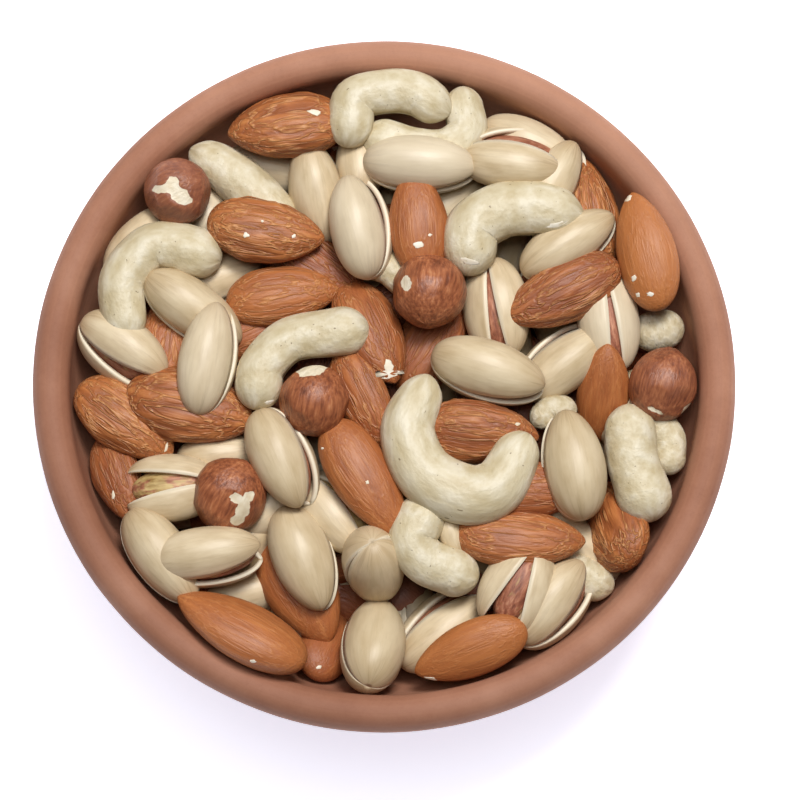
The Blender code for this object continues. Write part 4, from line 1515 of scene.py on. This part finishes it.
def pistachio_copies():
    """Two half shells and one kernel for each pistachio, open at its slit."""
    halves, kernels = [], []
    for row, turn, middle in everything:
        if row["kind"] != "pistachio":
            continue
        hidden = "hidden" in row
        pitch, roll = turn
        slit = Matrix.Rotation(math.radians(row.get("slit", roll)), 3, "X")
        facing = way_of(row, pitch, 0) @ slit
        stem = Vector(middle) - facing @ Vector((row["length"] / 2, 0, 0))
        swing = math.radians(row.get("open", HARDLY_OPEN)) / 2
        half = [part * row.get("share", 1) for part in half_sizes(row)]
        for side in range(2):
            variant = SHELL_BED if hidden else (len(halves) // 2 + side) % SHELL_BED
            turned_over = Matrix.Rotation(math.pi * side, 3, "X")
            opened = facing @ Matrix.Rotation(swing * (1 - 2 * side), 3, "Z") @ turned_over
            halves.append((stem, opened, half, variant, row))
        if not hidden:
            inside = [part * share for part, share in zip(half, KERNEL_SHARE)]
            centre = stem + facing @ Vector((half[0], 0, 0))
            kernels.append((centre, facing, inside, len(kernels) % SHELL_BED, row))
    return halves, kernels


halves, kernels = pistachio_copies()
pistachio_shells = scatter("pistachio_shells", halves, shell_forms, SHELL)
pistachio_kernels = scatter("pistachio_kernels", kernels, kernel_forms, KERNEL)

# %% [markdown]
# ## Hazelnuts
#
# Five hazelnuts show, and their skins are torn in patches that show the cream flesh. Each patch is given as
# ovals on the rim's plane, where the eye sees them: x, y, half length, half width and heading, in millimetres
# and degrees. A point of the nut is bare where the line from the eye through it meets an oval, and the bare
# flesh lies a little lower than the skin round it. Paint on the finished nut would look as good from here,
# but it would have no edge.

# %% Torn skins
RAGGED = 0.3
RAGGED_SCALE = 1.3
TEAR_SHARPNESS = 2.2
TORN = {
    "hazelnut_01": [(-41.8, 36.0, 2.1, 0.9, 5), (-38.4, 34.6, 2.3, 1.5, -35), (-40.0, 37.2, 1.2, 1.3, 80)],
    "hazelnut_02": [(4.1, 17.7, 1.0, 1.6, 0)],
    "hazelnut_03": [(50.4, -6.6, 1.8, 0.35, -25), (56.4, -6.4, 1.5, 0.5, 50)],
    "hazelnut_04": [(-13.6, 1.5, 3.0, 1.5, 10)],
    "hazelnut_05": [
        (-27.3, -23.2, 1.3, 1.0, -30),
        (-25.0, -22.8, 1.1, 0.9, 35),
        (-26.1, -24.9, 1.3, 2.2, -10),
        (-27.2, -27.2, 1.4, 1.0, 10),
    ],
}


def on_rim_plane(points):
    """Where each point shows, from the eye, on the rim's plane."""
    eye = np.array(EYE)
    share = (eye[2] - BOWL_HEIGHT) / (eye[2] - points[:, 2])
    return eye[:2] + (points[:, :2] - eye[:2]) * share[:, None]


def torn_at(points, ovals, shift):
    """1 inside a torn patch, 0 outside, with a ragged edge between."""
    spots = on_rim_plane(points) / MM
    bare = np.full(len(points), -9.0)
    for x, y, half_long, half_wide, heading in ovals:
        turn = math.radians(heading)
        off = spots - (x, y)
        along = (off @ (math.cos(turn), math.sin(turn))) / half_long
        across = (off @ (-math.sin(turn), math.cos(turn))) / half_wide
        bare = np.maximum(bare, 1 - np.hypot(along, across))
    ragged = np.array([noise.noise(Vector((x * RAGGED_SCALE, y * RAGGED_SCALE, shift))) for x, y in spots])
    return np.clip(0.5 + (bare + RAGGED * ragged) * TEAR_SHARPNESS, 0, 1)


print("torn patches:", {name: len(ovals) for name, ovals in TORN.items()})

# %% Hazelnuts
PLATES = 11
PLATE_REACHES = (0.88, 0.95)
PLATE_FLATNESS = 0.85
HAZELNUT_FACES = (76, 60)
TEAR_DEPTH = 0.03


def plated(local, draw):
    """The form with flat plates cut into it, where the nut grew against its neighbours."""
    cut = local.copy()
    for _ in range(PLATES):
        way = Vector((draw.uniform(-1, 1), draw.uniform(-1, 1), draw.uniform(-1, 1))).normalized()
        over = np.clip(cut @ np.array(way) - draw.uniform(*PLATE_REACHES), 0, None)
        cut -= np.outer(over, way) * PLATE_FLATNESS
    return cut


def make_hazelnuts():
    draw = random.Random(SEED + 5)
    parts = []
    for row, turn, middle in everything:
        if row["kind"] != "hazelnut":
            continue
        form, polygons = straight_form(row, *(BED_FACES if "hidden" in row else HAZELNUT_FACES))
        local = form / half_sizes(row) / (1, 1, OUTLINES["hazelnut"][2])
        shift = draw.uniform(0, 30)
        form = plated(local, draw) * (form / np.where(local == 0, 1, local))
        dents = 0.02 * noise_at(local, 1.6, 1.6, shift) + 0.01 * noise_at(local, 1.2, 6.0, shift)
        placed = turned(form * (1 + dents)[:, None], row, *turn) + middle
        peel = torn_at(placed, TORN.get(row["name"], []), shift)
        placed = middle + (placed - middle) * (1 - TEAR_DEPTH * peel)[:, None]
        values = {"seed": draw.uniform(0, SEED_SPAN), "tone": row.get("tone", 0.0)}
        parts.append((placed, polygons, {"own": local, "peel": peel}, values))
    return joined("hazelnuts", parts, HAZELNUT_SKIN)


hazelnuts = make_hazelnuts()
print("hazelnuts:", triangles(hazelnuts), "triangles")

# %% [markdown]
# ## Cashews
#
# No two cashews bend alike, so each is drawn along its own bend rather than bent from one form. Its ends
# narrow as its row says, a crease runs along its hollow side, and broad soft dents make the light roll over
# it.

# %% Cashews along their bends
CASHEW_FACES = (40, 64)
CREASE_WIDTH = 0.2
CREASE_DEPTH = 0.06
HOLLOW_WIDTH = 0.7
HOLLOW_DEPTH = 0.05
BROAD_DENTS = 0.045
SMALL_DENTS = 0.02
PLAIN_TIPS = (0.15, 0.15)
TIP_POWER = 6


def cashew_points(row, sides, rings, shift):
    """The cashew's points before it is turned, its own coordinates, and how deep in the crease each lies."""
    points, faces = bent_form(row, sides, rings)
    spread = -np.cos(np.pi * np.arange(1, rings + 1) / (rings + 1))
    turn = 2 * np.pi * (np.arange(sides) + 0.5) / sides
    own = np.zeros((len(points), 3))
    own[0, 0] = -1
    own[-1, 0] = 1
    skin = own[1:-1]
    skin[:, 0] = np.repeat(spread, sides)
    skin[:, 1] = np.tile(np.cos(turn), rings)
    skin[:, 2] = np.tile(np.sin(turn), rings)
    centres = points[1:-1].reshape(rings, sides, 3).mean(axis=1).repeat(sides, axis=0)
    (_, first), (_, last) = along_bend(row["bend"], 0.1), along_bend(row["bend"], 0.9)
    hollow_side = 1.0 if first[0] * last[1] - first[1] * last[0] > 0 else -1.0
    off = np.arctan2(skin[:, 2], skin[:, 1] * hollow_side)
    middle = 1 - skin[:, 0] ** 2
    crease = np.exp(-((off / CREASE_WIDTH) ** 2)) * np.clip(middle * 2, 0, 1)
    size = 1 - CREASE_DEPTH * crease - HOLLOW_DEPTH * np.exp(-((off / HOLLOW_WIDTH) ** 2)) * middle
    size += BROAD_DENTS * noise_at(skin, 1.5, 0.9, shift) + SMALL_DENTS * noise_at(skin, 3.0, 2.4, shift + 4)
    tips = row.get("tips", PLAIN_TIPS)
    size *= 1 - np.where(skin[:, 0] < 0, tips[0], tips[1]) * skin[:, 0] ** TIP_POWER
    points[1:-1] = centres + (points[1:-1] - centres) * size[:, None]
    return points, faces, own, np.concatenate([[0], crease, [0]])


def make_cashews():
    draw = random.Random(SEED + 9)
    parts = []
    for row, turn, middle in everything:
        if row["kind"] == "cashew":
            form, polygons, local, crease = cashew_points(row, *CASHEW_FACES, draw.uniform(0, 40))
            layers = {"own": local, "crease": crease}
            values = {"seed": draw.uniform(0, SEED_SPAN), "tone": row.get("tone", 0.0)}
            parts.append((turned(form, row, *turn) + middle, polygons, layers, values))
    return joined("cashews", parts, CASHEW_FLESH)


cashews = make_cashews()
print("cashews:", triangles(cashews), "triangles")

# %% [markdown]
# ## The bottom of the heap
#
# Under the bed nothing shows but the dark. More nuts would cost faces that nobody sees, so one rough, closed
# mass fills the bowl there. Its dark brown colour is painted shade.

# %% The dark bed
FILL_DEPTH = 22 * MM
FILL_RADIUS = 50 * MM
FILL_UNDERSIDE = ((30 * MM, 12 * MM), (45 * MM, 20 * MM))
FILL_SIDES = 48
FILL_RINGS = 16
FILL_ROUGHNESS = 1.5 * MM
FILL_NOISE_SCALE = 160


def fill_point(reach, side, height=None):
    """A point on the fill's ring, at this height or else on its rough top."""
    turn = 2 * math.pi * side / FILL_SIDES
    x, y = reach * math.cos(turn), reach * math.sin(turn)
    if height is None:
        rough = noise.noise(Vector((x, y, 0)) * FILL_NOISE_SCALE) * FILL_ROUGHNESS
        height = even_surface(x, y) - FILL_DEPTH + rough
    return (x, y, height)


def make_fill():
    sides = range(FILL_SIDES)
    rings = [[fill_point(reach, side, height) for side in sides] for reach, height in FILL_UNDERSIDE]
    for ring in range(FILL_RINGS, 0, -1):
        rings.append([fill_point(FILL_RADIUS * ring / FILL_RINGS, side) for side in sides])
    ends = ((0, 0, FILL_UNDERSIDE[0][1]), (0, 0, even_surface(0, 0) - FILL_DEPTH))
    points, faces = closed_form(rings, ends, FILL_SIDES)
    piece = add_piece("bed_fill", points, faces)
    outward(piece)
    piece.data.materials.append(BED)
    return piece


bed_fill = make_fill()
print("bed fill:", triangles(bed_fill), "triangles")

# %% [markdown]
# ## Chips and flecks
#
# Where nuts knock together their skins chip, and a bright bare spot shows: at the tip of an almond, or where
# a cashew was cut. Each chip is a thin, ragged scale, given by x, y, half length, half width and heading on
# the rim's plane. A ray from the eye finds the nut's surface at the place where it shows, and the scale's rim
# is pressed onto that surface, so it follows the nut as a painted spot would and still has an edge.

# %% Chips on the skins
CHIPS = [
    (32.6, 29.0, 2.4, 0.6, 17),
    (16.2, 21.8, 2.1, 0.8, -14),
    (45.9, 34.2, 1.0, 1.0, 40),
    (-40.4, -13.6, 0.4, 1.1, -12),
    (-13.3, 51.0, 1.5, 0.8, -10),
    (-30.0, 47.2, 0.5, 1.0, 10),
    (-9.3, 43.9, 0.8, 0.5, 20),
    (-26.0, 27.0, 0.7, 0.6, 0),
    (-23.0, 29.7, 0.4, 0.3, 0),
    (-17.0, 26.8, 0.5, 0.4, 40),
    (46.9, 18.7, 0.8, 0.6, 60),
    (47.6, 15.4, 0.6, 0.6, 0),
    (49.9, 15.6, 0.8, 0.5, 10),
    (6.4, 25.1, 1.2, 0.8, 0),
    (8.6, 27.0, 0.5, 0.3, 20),
    (0.9, 0.4, 3.0, 1.0, 0),
    (0.9, 1.9, 1.1, 1.5, 0),
    (-3.1, -20.1, 0.4, 0.4, 0),
    (-11.5, -13.7, 0.5, 0.3, 0),
    (-50.2, -22.5, 0.4, 0.9, 0),
    (8.6, -56.6, 1.4, 0.9, 30),
    (-24.0, -53.3, 0.6, 0.5, 0),
    (-11.9, -54.4, 0.6, 0.4, 20),
    (24.9, -9.1, 0.7, 0.4, 10),
    (-21.3, -5.0, 1.2, 0.6, 0),
]
print("chips listed:", len(CHIPS))

# %% Pressing the chips on
CHIP_SIDES = 12
CHIP_RISE = 0.05 * MM
CHIP_SINK = 0.02 * MM
CHIP_ROOT = 0.1 * MM
CROWN_SHARE = 0.75
RAGGED_REACHES = (0.68, 1.15)
PRESS_FROM = 2 * MM
PRESS_MOST = 1.5 * MM


def surface_finder(pieces):
    """A function that gives where a ray first meets these pieces, and the surface's way out there."""
    trees = []
    for piece in pieces:
        corners = [tuple(vert.co) for vert in piece.data.vertices]
        polygons = [tuple(face.vertices) for face in piece.data.polygons]
        trees.append(bvhtree.BVHTree.FromPolygons(corners, polygons))

    def find(start, way):
        hits = [hit for hit in (tree.ray_cast(start, way) for tree in trees) if hit[0] is not None]
        if not hits:
            return None
        place, out, _, _ = min(hits, key=lambda hit: hit[3])
        return place, out if out.dot(way) < 0 else -out

    return find


def pressed(find, spot, out):
    """Where this spot lands on the surface under it, or the spot itself where there is none near."""
    landed = find(spot + out * PRESS_FROM, -out)
    return landed[0] if landed and (landed[0] - spot).length < PRESS_MOST else spot


def chip_form(find, place, out, half_long, half_wide, heading, draw):
    """One scale: a rim sunk a little into the skin, and a smaller crown just over it."""
    turn = math.radians(heading)
    ahead = Vector((math.cos(turn), math.sin(turn), 0))
    ahead = (ahead - out * ahead.dot(out)).normalized()
    aside = out.cross(ahead)
    rim, crown = [], []
    for side in range(CHIP_SIDES):
        angle = 2 * math.pi * side / CHIP_SIDES
        off = (ahead * half_long * math.cos(angle) + aside * half_wide * math.sin(angle)) * MM
        off *= draw.uniform(*RAGGED_REACHES)
        rim.append(pressed(find, place + off, out) - out * CHIP_SINK)
        crown.append(pressed(find, place + off * CROWN_SHARE, out) + out * CHIP_RISE)
    return closed_form([rim, crown], (place - out * CHIP_ROOT, place + out * CHIP_RISE), CHIP_SIDES)


def make_chips(find):
    draw = random.Random(SEED + 3)
    parts = []
    for x, y, half_long, half_wide, heading in CHIPS:
        hit = find(EYE, (Vector((x * MM, y * MM, BOWL_HEIGHT)) - EYE).normalized())
        if hit is not None:
            parts.append((*chip_form(find, *hit, half_long, half_wide, heading, draw), {}, {}))
    piece = joined("skin_chips", parts, CHIP)
    outward(piece)
    return piece


nuts = [almonds, cashews, pistachio_shells, pistachio_kernels, hazelnuts]
skin_chips = make_chips(surface_finder(nuts))
print("chips:", triangles(skin_chips), "triangles")

# %% [markdown]
# ## Joining the pieces to the model
#
# Nothing moves here, so every piece rides on the one body. The turned bowl stands for the CAD bowl, and the
# nuts stand for the fused heap. The forms on the shelf have been copied, so they are taken away first.

# %% Riding and replacing
for form in list(shelf.all_objects):
    bpy.data.objects.remove(form, do_unlink=True)
for holder in list(shelf.children):
    bpy.data.collections.remove(holder)
bpy.data.collections.remove(shelf)

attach(bowl, "root")
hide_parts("bowl")
for piece in (*nuts, bed_fill, skin_chips):
    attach(piece, "root")
    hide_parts("nut_heap")
print("triangles in all:", sum(triangles(piece) for piece in (bowl, *nuts, bed_fill, skin_chips)))

# %% [markdown]
# ## Floor, light and camera
#
# The bowl stands on a white sheet under broad, soft light from above and a little from behind and the right.
# The sheet glows a little, which keeps it nearly white and lets the shadow beside the bowl stay faint. The
# camera looks down from in front. Its lens and place are the ones that the rim's outline gives, and the nuts
# were laid as seen from there.

# %% The floor
SHEET_REACH = 2.0
SHEET_CORNERS = ((-1, -1), (1, -1), (1, 1), (-1, 1))
SHEET_GLOW = 0.76


def make_floor():
    material, tree, shader = new_material("white_sheet", roughness=0.9)
    shader.inputs["Base Color"].default_value = (0.97, 0.97, 0.98, 1)
    shader.inputs["Specular IOR Level"].default_value = 0.0
    shader.inputs["Emission Color"].default_value = (0.84, 0.86, 1.0, 1)
    shader.inputs["Emission Strength"].default_value = SHEET_GLOW
    corners = [(x * SHEET_REACH, y * SHEET_REACH, 0) for x, y in SHEET_CORNERS]
    floor = add_piece("floor", corners, [(0, 1, 2, 3)])
    floor.data.materials.append(material)


make_floor()
print("floor:", 2 * SHEET_REACH, "m wide")

# %% Lights
HEAP_MIDDLE = Vector((0, 0, 30)) * MM
SKY = 0.1


def area_light(name, place, size, power, shade=(1, 1, 1)):
    data = bpy.data.lights.new(name, "AREA")
    data.shape = "DISK"
    data.size = size
    data.energy = power
    data.color = shade
    lamp = bpy.data.objects.new(name, data)
    lamp.location = place
    lamp.rotation_euler = (HEAP_MIDDLE - Vector(place)).to_track_quat("-Z", "Y").to_euler()
    bpy.context.scene.collection.objects.link(lamp)


area_light("soft_key", (0.16, 0.40, 1.02), size=0.36, power=10.0, shade=(1.0, 0.985, 0.96))
area_light("soft_top", (-0.05, 0.1, 1.15), size=0.5, power=4.0)
world = bpy.data.worlds.new("studio")
bpy.context.scene.world = world
world.use_nodes = True
backdrop = world.node_tree.nodes["Background"]
backdrop.inputs["Color"].default_value = (0.95, 0.97, 1.0, 1)
backdrop.inputs["Strength"].default_value = SKY
bpy.context.scene.view_settings.view_transform = "Standard"

# %% The camera
LENS = 134.285
SENSOR_WIDTH = 36
CAMERA_TILT = 10.36

camera_data = bpy.data.cameras.new("camera")
camera_data.lens = LENS
camera_data.sensor_width = SENSOR_WIDTH
camera = bpy.data.objects.new("camera", camera_data)
camera.location = EYE
camera.rotation_euler = (math.radians(CAMERA_TILT), 0, 0)
bpy.context.scene.collection.objects.link(camera)
bpy.context.scene.camera = camera
print("camera", round(camera.location.z / MM), "mm above the table")
